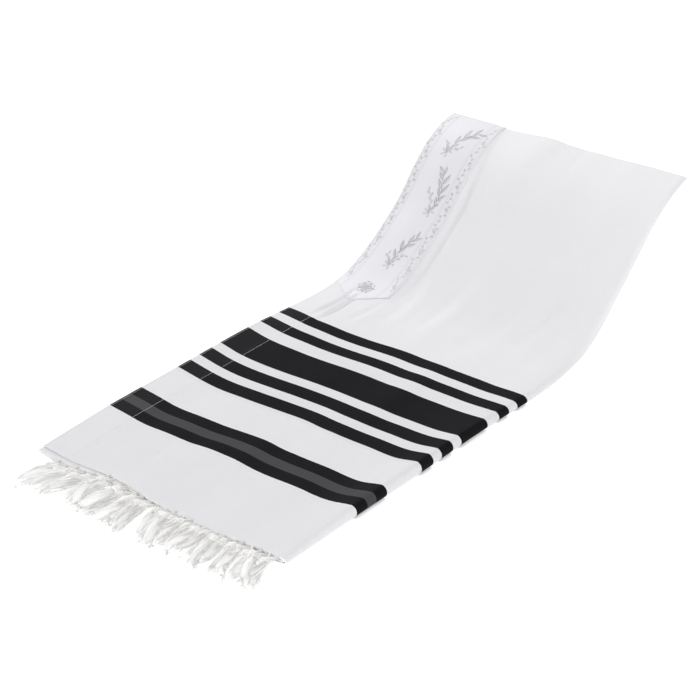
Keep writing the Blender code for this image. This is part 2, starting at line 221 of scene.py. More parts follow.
def underside(x, along):
    """The points of the underside at x across the strip and a distance along it."""
    share = x / FOLDED_WIDTH + 0.5
    before_start = np.minimum(along, 0.0)
    ends = []
    for path_along, y, z in (NECK_PATH, FOLD_PATH):
        ends.append((np.interp(along, path_along, y) + before_start, np.interp(along, path_along, z)))
    (neck_y, neck_z), (fold_y, fold_z) = ends
    return np.stack([x, neck_y + (fold_y - neck_y) * share, neck_z + (fold_z - neck_z) * share], -1)


def raised(x, along, height):
    """The points that stand at a height above the underside, square to it."""
    ahead = underside(x, along + CLIMB_STEP) - underside(x, along - CLIMB_STEP)
    aside = underside(x + CLIMB_STEP, along) - underside(x - CLIMB_STEP, along)
    out = np.cross(aside, ahead)
    out /= np.linalg.norm(out, axis=-1, keepdims=True)
    return underside(x, along) + out * height[..., None]


print("raised end: neck edge", round(NECK_PATH[2][-10], 3), "m, fold", round(FOLD_PATH[2][-10], 3), "m")

# %% [markdown]
# ## How high the stack stands
#
# Four layers of this wool would make 6 mm, but cloth never lies quite flat on itself. Air between
# the layers lifts the lengthwise fold and the neck edge, and the stripes show it as gentle waves.
# The long soft folds are bumps along a line, and the waves are a few slow sines. A table of sags
# then lowers or lifts the panel by up to 2.5 mm, so that the stripes bend as they do on real cloth.
# Where a fold is deep, the layers below it give way, as they do when a hand presses a crease.

# %% Soft folds and the height of the stack
WAVES = table(
    "across_length along_length start height",
    (0.155, 0.90, 0.6, 0.0009),
    (0.098, -0.50, 2.1, 0.0005),
    (0.260, 0.31, 4.0, 0.0007),
)
EDGE_FADE = 0.05
LEAST_STACK = 0.0046
SAG_ACROSS = (0.0, 0.033, 0.065, 0.102, 0.142, 0.203, 0.264, 0.325, 0.374, 0.406)
SAGS = table(
    "along millimetres",
    (0.00, (0.0, 0.0, 0.0, 0.0, 0.0, 0.0, 0.0, 0.0, 0.0, 0.0)),
    (0.13, (-2.0, -2.5, -1.8, -0.8, -1.1, 0.5, -0.7, -2.4, -1.0, 0.0)),
    (0.26, (-2.0, -1.5, -0.3, 0.3, -0.9, 0.1, 0.4, 0.2, -0.7, 0.0)),
    (0.40, (0.0, -0.2, -0.6, -0.1, 0.9, 1.5, 0.1, 1.3, -0.2, 0.0)),
    (0.487, (-1.4, 1.4, 0.5, -0.3, 1.2, -0.4, -1.4, 1.3, 0.8, 0.0)),
    (0.60, (-2.0, 0.0, 0.0, 0.0, 0.6, -0.6, 0.0, 0.6, 0.0, 0.0)),
    (0.74, (-1.8, -0.6, 0.0, 0.0, 0.0, 0.0, 0.0, 0.0, 0.0, 0.0)),
    (0.908, (0.0, 0.0, 0.0, 0.0, 0.0, 0.0, 0.0, 0.0, 0.0, 0.0)),
)


def crease_heights(across, along, creases):
    """How much the listed folds raise the top panel at a share across and a distance along."""
    total = np.zeros(np.shape(across))
    for crease in creases:
        run_x = (crease.end_across - crease.across) * FOLDED_WIDTH
        run = np.array([run_x, crease.end_along - crease.along])
        from_x, from_y = (across - crease.across) * FOLDED_WIDTH, along - crease.along
        share = (from_x * run[0] + from_y * run[1]) / (run @ run)
        aside = np.abs(from_x * run[1] - from_y * run[0]) / np.linalg.norm(run) / crease.half_width
        inside = (share > 0.0) & (share < 1.0) & (aside < 1.0)
        bump = np.sin(np.pi * np.clip(share, 0.0, 1.0)) * (1.0 - np.clip(aside, 0.0, 1.0) ** 2) ** 2
        total += np.where(inside, crease.height * bump, 0.0)
    return total


def wave_heights(across, along):
    """Slow waves of the top panel, which die out at its two long edges."""
    total = np.zeros(np.shape(across))
    for wave in WAVES:
        turn = across * FOLDED_WIDTH / wave.across_length + along / wave.along_length
        total += wave.height * np.sin(2.0 * math.pi * turn + wave.start)
    fade = np.clip(np.minimum(across, 1.0 - across) * FOLDED_WIDTH / EDGE_FADE, 0.0, 1.0)
    return total * fade * fade * (3.0 - 2.0 * fade)


def stack_height(across, along):
    """How high the solid's top stands above its underside."""
    across = np.minimum(across, PLACES_ACROSS[-1])
    columns = [section_value(field, along) for field in SECTIONS[0]._fields[1:6]]
    return smooth_between(PLACES_ACROSS, columns, across) + crease_heights(across, along, CREASES)


def sag_heights(across, along):
    """Where the top panel lies a little lower or higher than the solid, in metres."""
    columns = [
        smooth_between([sag.along for sag in SAGS], [sag.millimetres[k] for sag in SAGS], along)
        for k in range(len(SAG_ACROSS))
    ]
    return smooth_between(SAG_ACROSS, columns, across * FOLDED_WIDTH) / 1000.0


def panel_height(across, along):
    """How high the woven top panel stands: the solid's height with the finer folds added."""
    fine = crease_heights(across, along, FINE_CREASES) + wave_heights(across, along)
    return stack_height(across, along) + fine + sag_heights(across, along)


def give_way(across, along):
    """How far the lower layers hang down below a deep fold, so that no two layers meet."""
    return np.maximum(LEAST_STACK - panel_height(across, along), 0.0)


def fold_start(along):
    """The x at which the top panel starts to turn down round the lengthwise fold."""
    return FOLDED_WIDTH / 2.0 - FOLD_REACH - section_value("narrower", along)


# %% [markdown]
# ## One rule for every layer
#
# A layer is a strip that starts at the neck edge, crosses the top, turns round the lengthwise fold
# and comes back underneath. Its place across is counted from 0 to 3: the top panel up to 1, the
# fold up to 2, and the lower panel up to 3. The fringed hem isn't straight, so the rows of the top
# panel near it are shifted along by a small amount that fades away.

# %% Place a point of a layer
HEM = table(
    "across shift",
    (0.000, 0.004),
    (0.050, 0.001),
    (0.120, 0.005),
    (0.165, -0.001),
    (0.207, -0.007),
    (0.248, -0.005),
    (0.300, -0.007),
    (0.356, -0.002),
    (0.415, -0.002),
)
MIDDLE_HEM = table(
    "across shift",
    (0.000, -0.006),
    (0.050, -0.007),
    (0.110, -0.001),
    (0.207, -0.004),
    (0.415, 0.000),
)
LOWEST_HEM = table(
    "across shift",
    (0.000, -0.003),
    (0.050, -0.009),
    (0.110, -0.003),
    (0.207, -0.002),
    (0.415, 0.000),
)
HEM_FADE = 0.090


def hem_shift(across, along, hems):
    """How far a panel is shifted along, at a distance across in metres."""
    fade = np.clip(1.0 - along / HEM_FADE, 0.0, 1.0)
    shift = smooth_between([hem.across for hem in hems], [hem.shift for hem in hems], across)
    return shift * fade * fade * (3.0 - 2.0 * fade)


def layer_points(place, along, depth, upper_hem=HEM, lower_hem=LOWEST_HEM):
    """Points of a layer that lies at a depth inside the outer face of the folded cloth."""
    turn = np.clip((along - FLAT_END) / CURL_LENGTH, 0.0, 1.0) * math.pi / 2.0
    along = np.minimum(along, FLAT_END)
    fold_x = fold_start(along)
    angle = math.pi * (1.5 - np.clip(place, 1.0, 2.0))
    top_x = NECK_X + (fold_x - NECK_X) * np.clip(place, 0.0, 1.0)
    round_x = fold_x + (FOLD_REACH - depth) * np.cos(angle)
    under_x = fold_x + (NECK_X + LOWER_LAYER_INSET - fold_x) * np.clip(place - 2.0, 0.0, 1.0)
    x = np.where(place <= 1.0, top_x, np.where(place < 2.0, round_x, under_x))
    across = x / FOLDED_WIDTH + 0.5
    half = stack_height(np.ones_like(along), along) / 2.0
    top = panel_height(across, along)
    height = np.where(place <= 1.0, top - depth, half + (half - depth) * np.sin(angle))
    height = np.where(place < 2.0, height, depth - give_way(across, along))
    middle = np.where(place <= 1.0, top, stack_height(across, along)) / 2.0
    squeeze = np.maximum(np.cos(turn), CROSS_FOLD_SLIT / (middle - depth))
    upper_shift = hem_shift(across * FOLDED_WIDTH, along, upper_hem)
    lower_shift = hem_shift(across * FOLDED_WIDTH, along, lower_hem)
    shifted = along + upper_shift + (lower_shift - upper_shift) * np.clip(place - 1.0, 0.0, 1.0)
    shifted += (CROSS_FOLD_RADIUS - depth) * np.sin(turn)
    return raised(x, shifted, middle + (height - middle) * squeeze)


# %% [markdown]
# ## From rows of points to a closed sheet
#
# Every sheet here is closed: an outer face, an inner face, and a narrow wall round all four edges.
# The wall is drawn in a little, so a hem looks rolled and not cut. The flat coordinates of the
# cloth, across and along in metres, go into a UV map, and the weave and the stripes follow it.

# %% Build a closed sheet
def closed_sheet(name, outer, inner, flat):
    """A mesh object between two grids of points, with a UV map of the cloth laid flat."""
    rows, columns = outer.shape[:2]
    points = np.concatenate([outer.reshape(-1, 3), inner.reshape(-1, 3)])
    number = np.arange(rows * columns).reshape(rows, columns)
    below = number + rows * columns

    def quads(a, b, c, d):
        return np.stack([a, b, c, d], -1).reshape(-1, 4)

    faces = np.concatenate([
        quads(number[:-1, :-1], number[:-1, 1:], number[1:, 1:], number[1:, :-1]),
        quads(below[:-1, :-1], below[1:, :-1], below[1:, 1:], below[:-1, 1:]),
        quads(number[:-1, 0], number[1:, 0], below[1:, 0], below[:-1, 0]),
        quads(number[:-1, -1], below[:-1, -1], below[1:, -1], number[1:, -1]),
        quads(number[0, :-1], below[0, :-1], below[0, 1:], number[0, 1:]),
        quads(number[-1, :-1], number[-1, 1:], below[-1, 1:], below[-1, :-1]),
    ])
    mesh = bpy.data.meshes.new(name)
    mesh.from_pydata(points.tolist(), [], faces.tolist())
    uv_of_point = np.concatenate([flat.reshape(-1, 2)] * 2)
    layer = mesh.uv_layers.new(name="cloth")
    layer.data.foreach_set("uv", uv_of_point[faces.ravel()].astype(np.float32).ravel())
    mesh.shade_smooth()
    obj = bpy.data.objects.new(name, mesh)
    bpy.context.scene.collection.objects.link(obj)
    print(f"{name}: {2 * len(faces)} triangles")
    return obj


def spread(lengths, counts):
    """Places from 0 on, with a count of equal steps in each listed length."""
    places = [0.0]
    for length, count in zip(lengths, counts):
        places += [places[-1] + length * (k + 1) / count for k in range(count)]
    return np.array(places)


# %% [markdown]
# ## The outer half of the cloth
#
# This is the sheet that shows: the striped top panel, the lengthwise fold and the lower panel. It
# is one grid, because a pattern that runs round a fold has to be continuous. Rows are close
# together at the hem and where the cloth curls into the cross fold, and columns are close together
# under the neck band, where the folds are narrow.

# %% Weave the outer half
FINENESS = 1.0
HEM_ROLL, HEM_ROLL_WIDTH = 0.0006, 0.0016


def count_of(number):
    """A number of rows or columns, halved while trying things out."""
    return max(2, round(number * FINENESS))


cloth_rows = spread((0.003, FLAT_END - 0.003, CURL_LENGTH), (3, count_of(268), 6))
top_places = spread((0.006, 0.274, 0.720), (3, count_of(54), count_of(56)))
fold_places = 1.0 + spread((1.0,), (14,))[1:]
lower_places = 2.0 + spread((0.99, 0.01), (count_of(40), 3))[1:]
cloth_places = np.concatenate([top_places, fold_places, lower_places])


DRIFTS = table(
    "across millimetres",
    (0.000, -5.0),
    (0.033, -7.9),
    (0.065, -9.7),
    (0.102, -8.7),
    (0.142, -5.5),
    (0.203, 2.5),
    (0.264, 3.3),
    (0.325, 6.7),
    (0.374, 4.9),
    (0.420, 4.7),
    (0.830, -12.0),
)
DRIFT_GROWTH = 0.12


def flat_width(place, along):
    """How far across the cloth, laid flat, a place lies."""
    panel = fold_start(along) - NECK_X
    turn_length = stack_height(np.ones_like(along), along) / 2.0 * math.pi
    return (
        np.clip(place, 0.0, 1.0) * panel
        + np.clip(place - 1.0, 0.0, 1.0) * turn_length
        + np.clip(place - 2.0, 0.0, 1.0) * (panel - LOWER_LAYER_INSET)
    )


def woven_along(across, along):
    """How far along the weave a point lies: the stripes run a little askew and bowed."""
    metres = [drift.millimetres / 1000.0 for drift in DRIFTS]
    drift = smooth_between([drift.across for drift in DRIFTS], metres, across)
    return along - drift * np.clip(along / DRIFT_GROWTH, 0.0, 1.0)


def edge_roll(distances):
    """How much of its thickness the cloth loses at a free edge, on each face."""
    near = np.clip(1.0 - distances / HEM_ROLL_WIDTH, 0.0, 1.0)
    return HEM_ROLL * near * near


place_grid, along_grid = np.meshgrid(cloth_places, cloth_rows)
width_grid = flat_width(place_grid, along_grid)
flat_grid = np.stack([width_grid, woven_along(width_grid, along_grid)], -1)
from_edge = np.minimum(width_grid, width_grid.max(1, keepdims=True) - width_grid)
roll = edge_roll(np.minimum(from_edge, along_grid))
outer_cloth = closed_sheet(
    "woven_outer_half",
    layer_points(place_grid, along_grid, roll),
    layer_points(place_grid, along_grid, CLOTH - roll),
    flat_grid,
)

across_grid = layer_points(place_grid, along_grid, 0.0)[..., 0] / FOLDED_WIDTH + 0.5
difference = (panel_height(across_grid, along_grid) - stack_height(across_grid, along_grid)) * 1000.0
difference = difference[place_grid <= 1.0]
print(f"top panel: {difference.min():.1f} to {difference.max():.1f} mm from the solid's top")

# %% [markdown]
# ## The hidden half
#
# The other half of the shawl lies inside the first and shows only at its edges. It is the same
# kind of sheet, one step further in. Where the stack is thick, the layers share out the air
# between them, so four separate edges show at the neck and at the fringe.

# %% Lay the hidden half inside
INNER_STRIPES_AHEAD = 0.012
HALF_GAP = 0.0001
inner_rows = spread((0.003, FLAT_END - 0.003), (3, count_of(150)))
inner_places = np.concatenate([
    spread((0.006, 0.994), (3, count_of(60))),
    1.0 + spread((1.0,), (10,))[1:],
    2.0 + spread((0.99, 0.01), (count_of(40), 3))[1:],
])
place_grid, along_grid = np.meshgrid(inner_places, inner_rows)
width_grid = flat_width(place_grid, along_grid)
flat_grid = np.stack([width_grid, along_grid + INNER_STRIPES_AHEAD], -1)
from_edge = np.minimum(width_grid, width_grid.max(1, keepdims=True) - width_grid)
roll = edge_roll(np.minimum(from_edge, along_grid))
across_grid = np.clip(layer_points(place_grid, along_grid, 0.0)[..., 0] / FOLDED_WIDTH + 0.5, 0.0, 1.0)
room = panel_height(across_grid, along_grid) + give_way(across_grid, along_grid)
local_height = np.minimum(room, stack_height(across_grid, along_grid))
inner_depth = CLOTH + np.maximum(SEAM_GAP, (local_height - 4.0 * CLOTH) / 3.0)
inner_wall = np.minimum(CLOTH, local_height / 2.0 - inner_depth - HALF_GAP)
least, thinnest = local_height.min() * 1000.0, inner_wall.min() * 1000.0
print(f"least room {least:.1f} mm, thinnest hidden layer {thinnest:.1f} mm")
inner_half = closed_sheet(
    "woven_inner_half",
    layer_points(place_grid, along_grid, inner_depth + roll * 0.5, MIDDLE_HEM, MIDDLE_HEM),
    layer_points(place_grid, along_grid, inner_depth + inner_wall - roll * 0.5, MIDDLE_HEM, MIDDLE_HEM),
    flat_grid,
)

# %% [markdown]
# ## The neck band
#
# The band is a separate strip of satin, sewn on over the neck edge. It starts in a point, follows
# the cloth up the rise and turns over the cross fold with it. It is made from the points of the
# panel, moved out along the panel's own slope, so that it can't cut into the cloth.

# %% Sew on the neck band
BAND_WIDTH = 0.096
BAND_EDGE_INSET = 0.0015
BAND_START = 0.555
BAND_POINT = 0.033
BAND_THICKNESS = 0.0009
BAND_EDGE, EDGE_THINNED = 0.0012, 0.6
CURL_COVERED = 0.98
SURFACE_STEP = 0.0015


def on_cloth(across, along, lift):
    """Points at a distance across and along the top panel, lifted square to it."""
    place = across / (FOLDED_WIDTH - FOLD_REACH)
    step = SURFACE_STEP / (FOLDED_WIDTH - FOLD_REACH)
    ahead = layer_points(place, along + SURFACE_STEP, 0.0)
    ahead = ahead - layer_points(place, along - SURFACE_STEP, 0.0)
    right_of, left_of = np.minimum(place + step, 1.0), np.maximum(place - step, 0.0)
    aside = layer_points(right_of, along, 0.0) - layer_points(left_of, along, 0.0)
    out = np.cross(aside, ahead)
    out /= np.linalg.norm(out, axis=-1, keepdims=True)
    return layer_points(place, along, 0.0) + out * np.asarray(lift)[..., None]


band_steps = (BAND_EDGE, BAND_WIDTH - 2.0 * BAND_EDGE, BAND_EDGE)
band_across = BAND_EDGE_INSET + spread(band_steps, (3, count_of(60), 3))
band_share = spread((0.006, 0.985, 0.009), (3, count_of(150), 4))
across_grid, share_grid = np.meshgrid(band_across, band_share)
from_middle = np.abs(across_grid - BAND_EDGE_INSET - BAND_WIDTH / 2.0) / (BAND_WIDTH / 2.0)
band_begin = BAND_START + BAND_POINT * from_middle
along_grid = band_begin + (FLAT_END + CURL_LENGTH * CURL_COVERED - band_begin) * share_grid
side_distance = np.minimum(across_grid - BAND_EDGE_INSET, BAND_EDGE_INSET + BAND_WIDTH - across_grid)
from_edge = np.minimum(side_distance, along_grid - band_begin)
thin = np.clip(1.0 - from_edge / BAND_EDGE, 0.0, 1.0) ** 2
outer_lift = SEAM_GAP + BAND_THICKNESS * (1.0 - EDGE_THINNED * thin)
neck_band = closed_sheet(
    "satin_neck_band",
    on_cloth(across_grid, along_grid, outer_lift),
    on_cloth(across_grid, along_grid, np.full_like(across_grid, SEAM_GAP)),
    np.stack([across_grid, along_grid], -1),
)

# %% [markdown]
# ## Finishes
#
# Each finish is a small network of nodes. Wool is matt, with a soft sheen at grazing angles. Its
# colour comes from how far along the cloth a point lies, which is how the stripes were woven, and
# its relief from the threads that cross each other. Satin is smoother, and its threads run one way.
# A small class lets the result of a node be added and multiplied like a number.

# %% Small helpers for node networks
class Reading:
    """The result of a node, which can be reckoned with."""

    def __init__(self, socket):
        self.socket = socket

    def math(self, operation, *others):
        """One more step of arithmetic."""
        return node(self.socket.id_data, "ShaderNodeMath", self, *others, operation=operation)

    def __add__(self, other):
        return self.math("ADD", other)

    def __sub__(self, other):
        return self.math("SUBTRACT", other)

    def __mul__(self, other):
        return self.math("MULTIPLY", other)

    def sine(self):
        return self.math("SINE")

    def cosine(self):
        return self.math("COSINE")


def fill(made, inputs):
    """Sets or links the inputs of a node."""
    for key, value in inputs.items():
        if isinstance(value, Reading):
            made.id_data.links.new(value.socket, made.inputs[key])
        else:
            made.inputs[key].default_value = value


def node(tree, kind, *first_inputs, output=0, **named):
    """Adds a node and gives its result. Names in capitals are its inputs, the others its settings."""
    made = tree.nodes.new(kind)
    inputs = {place: value for place, value in enumerate(first_inputs) if value is not None}
    for name, value in named.items():
        if name[0].islower():
            setattr(made, name, value)
        else:
            inputs[name.replace("_", " ")] = value
    fill(made, inputs)
    return Reading(made.outputs[output])


def new_finish(name, colour, roughness, sheen, **more):
    """A material, the tree of its nodes, and its Principled shader."""
    material = bpy.data.materials.new(name)
    material.use_nodes = True
    shader = material.node_tree.nodes["Principled BSDF"]
    fill(shader, {
        "Base Color": (*colour, 1.0), "Roughness": roughness, "Sheen Weight": sheen,
        "Specular IOR Level": 0.25, **more,
    })
    return material, material.node_tree, shader


def noise(tree, where, scale, detail):
    """Soft random values, as many to the metre as the scale says."""
    return node(tree, "ShaderNodeTexNoise", Vector=where, Scale=scale, Detail=detail)


def streaks(tree, where, stretch, detail):
    """Random values drawn out along one direction, as threads are."""
    where = node(tree, "ShaderNodeMapping", Vector=where, Scale=stretch)
    return noise(tree, where, 1.0, detail)


def ripple(place, pitch):
    """A sine along a coordinate, with its pitch in metres."""
    return (place * (2.0 * math.pi / pitch)).sine()


def tint(tree, colour, factor, low, high):
    """A colour multiplied by a grey that goes from low to high with a factor."""
    grey = node(tree, "ShaderNodeMapRange", Value=factor, To_Min=low, To_Max=high)
    return node(tree, "ShaderNodeVectorMath", colour, grey, operation="MULTIPLY")


def mixed(tree, share, first, second):
    """One colour that turns into another."""
    made = node(tree, "ShaderNodeMix", share, data_type="RGBA", output=2)
    fill(made.socket.node, {6: (*first, 1.0), 7: (*second, 1.0)})
    return made


def soft_step(tree, value, **ends):
    """A value that goes from one end to another without a corner."""
    return node(tree, "ShaderNodeMapRange", Value=value, interpolation_type="SMOOTHSTEP", **ends)


def apart(tree, vector):
    """The three numbers of a vector."""
    return [Reading(part) for part in node(tree, "ShaderNodeSeparateXYZ", vector).socket.node.outputs]


def add_relief(tree, shader, height, strength, distance):
    """Gives a shader a bump from a height."""
    bump = node(tree, "ShaderNodeBump", Height=height, Strength=strength, Distance=distance)
    fill(shader, {"Normal": bump})


# %% Wool, woven with its stripes
WHITE, BLACK, GREY = (0.795, 0.793, 0.813), (0.0075, 0.0075, 0.0095), (0.064, 0.064, 0.068)
STRIPES = table(
    "start end colour",
    (0.1305, 0.1520, BLACK),
    (0.1520, 0.1690, GREY),
    (0.1690, 0.1903, BLACK),
    (0.2600, 0.2850, BLACK),
    (0.3049, 0.3283, BLACK),
    (0.3464, 0.4023, BLACK),
    (0.4265, 0.4484, BLACK),
    (0.4675, 0.4876, BLACK),
)
EDGE_WANDER = 0.0007
THREAD_PITCH = 0.0009
RIB_PITCH = 0.0024
CORD_PITCH = 0.0027
CORDED_MIDDLE, CORDED_HALF = 0.373, 0.118
PLAIN_LINE, LINE_HALF = 0.1262, 0.0005
FACING_WIDTH = 0.045
# How much painted sheen lifts the colour of the facing.
FACING_SHEEN = 0.007
FUZZ = 0.24


def stripe_colours(tree, along):
    """The colour of each stripe, with hard edges, from a distance along the cloth."""
    ramp = node(tree, "ShaderNodeValToRGB", along.math("DIVIDE", HALF_LENGTH))
    colours = ramp.socket.node.color_ramp
    colours.interpolation = "CONSTANT"
    stops = colours.elements
    stops[0].position, stops[0].color = 0.0, (*WHITE, 1.0)
    stops.remove(stops[1])
    for here, after in zip(STRIPES, STRIPES[1:] + [None]):
        stops.new(here.start / HALF_LENGTH).color = (*here.colour, 1.0)
        if after is None or after.start > here.end:
            stops.new(here.end / HALF_LENGTH).color = (*WHITE, 1.0)
    return ramp


def wool(name):
    """Woven wool: stripes, crossing threads, faint ribs and uneven yarn."""
    material, tree, shader = new_finish(name, WHITE, 0.92, 0.15)
    flat = node(tree, "ShaderNodeUVMap", uv_map="cloth")
    across, along, _ = apart(tree, flat)
    colour = stripe_colours(tree, (noise(tree, flat, 400.0, 1.0) - 0.5) * EDGE_WANDER + along)
    crossing = ripple(across, THREAD_PITCH) * ripple(along, THREAD_PITCH)
    yarn = streaks(tree, flat, (60.0, 900.0, 1.0), 3.0)
    colour = tint(tree, colour, yarn, 0.965, 1.03)
    colour = tint(tree, colour, noise(tree, flat, 14.0, 2.0), 0.985, 1.015)
    colour = tint(tree, colour, crossing * 0.5 + 0.5, 0.975, 1.015)
    near_stripes = along.math("COMPARE", CORDED_MIDDLE, CORDED_HALF)
    colour = tint(tree, colour, (ripple(across, CORD_PITCH) * 0.5 + 0.5) * near_stripes, 1.0, 0.93)
    colour = tint(tree, colour, along.math("COMPARE", PLAIN_LINE, LINE_HALF), 1.0, 0.93)
    # Painted sheen: the facing along the neck edge is lifted a little, so the black there looks greyer.
    facing_sheen = across.math("LESS_THAN", FACING_WIDTH) * FACING_SHEEN
    colour = node(tree, "ShaderNodeVectorMath", colour, facing_sheen, operation="ADD")
    sheen = node(tree, "ShaderNodeVectorMath", colour, yarn * FUZZ, operation="ADD")
    fill(shader, {"Base Color": colour, "Sheen Tint": sheen, "Specular IOR Level": 0.06})
    height = crossing * 0.5 + ripple(along, RIB_PITCH) * 0.25 + yarn * 0.8
    add_relief(tree, shader, height, 0.35, 0.0003)
    return material


outer_cloth.data.materials.append(wool("striped_wool"))
inner_half.data.materials.append(wool("striped_wool_inside"))

# %% Satin for the band
SATIN = (0.765, 0.760, 0.795)
SATIN_SHADE = (0.62, 0.62, 0.655)
BORDER, BORDER_LINES_APART, OUTER_LINE_INSET = 0.017, 0.0026, 0.003
LINE_WIDTH = 0.0009


def satin():
    """Satin: fine threads that run along the band, with three woven lines down each border."""
    material, tree, shader = new_finish("neck_band_satin", SATIN, 0.55, 0.1, **{"Sheen Roughness": 0.3})
    flat = node(tree, "ShaderNodeUVMap", uv_map="cloth")
    across, _, _ = apart(tree, flat)
    from_middle = (across - (BAND_EDGE_INSET + BAND_WIDTH / 2.0)).math("ABSOLUTE")
    inner_line = BAND_WIDTH / 2.0 - BORDER
    places = (inner_line, inner_line + BORDER_LINES_APART, BAND_WIDTH / 2.0 - OUTER_LINE_INSET)
    first, second, third = (from_middle.math("COMPARE", place, LINE_WIDTH / 2.0) for place in places)
    line = first.math("MAXIMUM", second).math("MAXIMUM", third)
    threads = streaks(tree, flat, (2600.0, 120.0, 1.0), 2.0)
    colour = tint(tree, mixed(tree, line * 0.75, SATIN, SATIN_SHADE), threads, 0.97, 1.03)
    fill(shader, {"Base Color": colour, "Specular IOR Level": 0.14})
    add_relief(tree, shader, line * -0.6 + threads, 0.25, 0.0002)
    return material


neck_band.data.materials.append(satin())

# %% Yarn and threads
# The yarn's faint glow is painted light that brightens the tufts.
YARN_PAINTED_GLOW = 0.09
# The cream near the hem is painted shade, where the cords and knots crowd together.
YARN_SHADED_AT_HEM, YARN_AT_TIP = (0.93, 0.905, 0.82), (0.945, 0.94, 0.92)


def thread_finish(name, colour, roughness, sheen, scale):
    """Spun thread: a matt colour broken up by fine fibres."""
    material, tree, shader = new_finish(name, colour, roughness, sheen)
    fibres = noise(tree, node(tree, "ShaderNodeTexCoord", output="Object"), scale, 3.0)
    plain = node(tree, "ShaderNodeRGB")
    plain.socket.default_value = (*colour, 1.0)
    fill(shader, {"Base Color": tint(tree, plain, fibres, 0.94, 1.05)})
    add_relief(tree, shader, fibres, 0.4, 0.0002)
    return material


def yarn():
    """Fluffy wool yarn: a cream painted shade near the hem, white in the tuft, light spreading inside
    it, and a faint painted glow.
    """
    material, tree, shader = new_finish("fringe_yarn", YARN_AT_TIP, 0.95, 0.3)
    share = node(tree, "ShaderNodeAttribute", attribute_name="along_strand", output="Fac")
    where = node(tree, "ShaderNodeTexCoord", output="Object")
    fibres, patches = noise(tree, where, 1400.0, 3.0), noise(tree, where, 130.0, 1.0)
    # Painted shade: the yarn is darker cream near the hem and turns white towards the tuft.
    whiter = soft_step(tree, patches * 0.20 + share, From_Min=0.06, From_Max=0.34)
    colour = mixed(tree, whiter, YARN_SHADED_AT_HEM, YARN_AT_TIP)
    fill(shader, {
        "Base Color": tint(tree, colour, fibres, 0.95, 1.04),
        "Subsurface Weight": 0.9, "Subsurface Radius": (1.0, 1.0, 0.9), "Subsurface Scale": 0.009,
        # Painted light: the yarn glows a little, though it is no lamp.
        "Emission Color": (1.0, 0.99, 0.96, 1.0), "Emission Strength": YARN_PAINTED_GLOW,
    })
    add_relief(tree, shader, fibres, 0.5, 0.0003)
    return material


fringe_yarn = yarn()
sewing_thread = thread_finish("sewing_thread", (0.86, 0.86, 0.87), 0.8, 0.2, 2500.0)
silver_thread = thread_finish("silver_embroidery", (0.50, 0.50, 0.53), 0.45, 0.1, 900.0)
pale_thread = thread_finish("pale_embroidery", (0.60, 0.60, 0.635), 0.45, 0.1, 900.0)
leaf_thread = thread_finish("leaf_fill_thread", (0.68, 0.68, 0.715), 0.45, 0.1, 900.0)
print("finishes:", sorted(material.name for material in bpy.data.materials))

# %% [markdown]
# ## The fringe
#
# Each tassel is a bunch of loose yarns from two places in the hem that are knotted together and
# then spread into a tuft. It repeats some forty times, so a node tree makes it. A full core keeps
# the tuft closed. Round it go thick plies and thin fibres: every root point is duplicated once for
# each of them, each copy gets its own random numbers, and a straight line is put there and bent to
# its place in the tassel. A thread wound round makes the knot. Few sides and points keep it light.

# %% Node tree helpers
def new_tree(name, **inputs):
    """A geometry tree, and what it is given: a geometry and the named inputs."""
    tree = bpy.data.node_groups.new(name, "GeometryNodeTree")
    sockets = [("Geometry", "INPUT", "Geometry"), ("Geometry", "OUTPUT", "Geometry")]
    sockets[1:1] = [(label.replace("_", " "), "INPUT", kind) for label, kind in inputs.items()]
    for label, side, kind in sockets:
        tree.interface.new_socket(label, in_out=side, socket_type="NodeSocket" + kind)
    given = tree.nodes.new("NodeGroupInput").outputs
    return tree, {socket.name: Reading(socket) for socket in given if socket.name}


def finish_tree(tree, given, geometry):
    """Ends a tree: no instances are left, and every face has the material."""
    geometry = node(tree, "GeometryNodeRealizeInstances", geometry)
    geometry = node(tree, "GeometryNodeSetShadeSmooth", Geometry=geometry)
    geometry = node(tree, "GeometryNodeSetMaterial", Geometry=geometry, Material=given["Material"])
    fill(tree.nodes.new("NodeGroupOutput"), {0: geometry})
    return tree


def grow(name, source, tree, values):
    """Runs a tree on a source mesh and returns the result as a plain object."""
    obj = bpy.data.objects.new(name + "_source", source)
    bpy.context.scene.collection.objects.link(obj)
    modifier = obj.modifiers.new("grow", "NODES")
    modifier.node_group = tree
    for socket in tree.interface.items_tree:
        key = socket.name.replace(" ", "_")
        if socket.in_out == "INPUT" and key in values:
            modifier[socket.identifier] = values[key]
    evaluated = obj.evaluated_get(bpy.context.evaluated_depsgraph_get())
    mesh = bpy.data.meshes.new_from_object(evaluated)
    mesh.name = name
    bpy.data.objects.remove(obj)
    grown = bpy.data.objects.new(name, mesh)
    bpy.context.scene.collection.objects.link(grown)
    mesh.calc_loop_triangles()
    print(f"{name}: {len(mesh.loop_triangles)} triangles")
    return grown


def random_between(tree, low, high, seed):
    """A random number for each point."""
    kind = "FunctionNodeRandomValue"
    return node(tree, kind, None, None, low, high, Seed=seed, data_type="FLOAT", output=1)


def store(tree, geometry, name, value, data_type="FLOAT"):
    """Keeps a value on each point under a name."""
    kind = "GeometryNodeStoreNamedAttribute"
    made = {"Geometry": geometry, "Name": name, "Value": value, "data_type": data_type}
    return node(tree, kind, domain="POINT", **made)


def stored(tree, name, data_type="FLOAT"):
    """Reads a value kept under a name."""
    return node(tree, "GeometryNodeInputNamedAttribute", Name=name, data_type=data_type)


def along_line(tree, output="Factor"):
    """How far along its line a point lies."""
    return node(tree, "GeometryNodeSplineParameter", output=output)


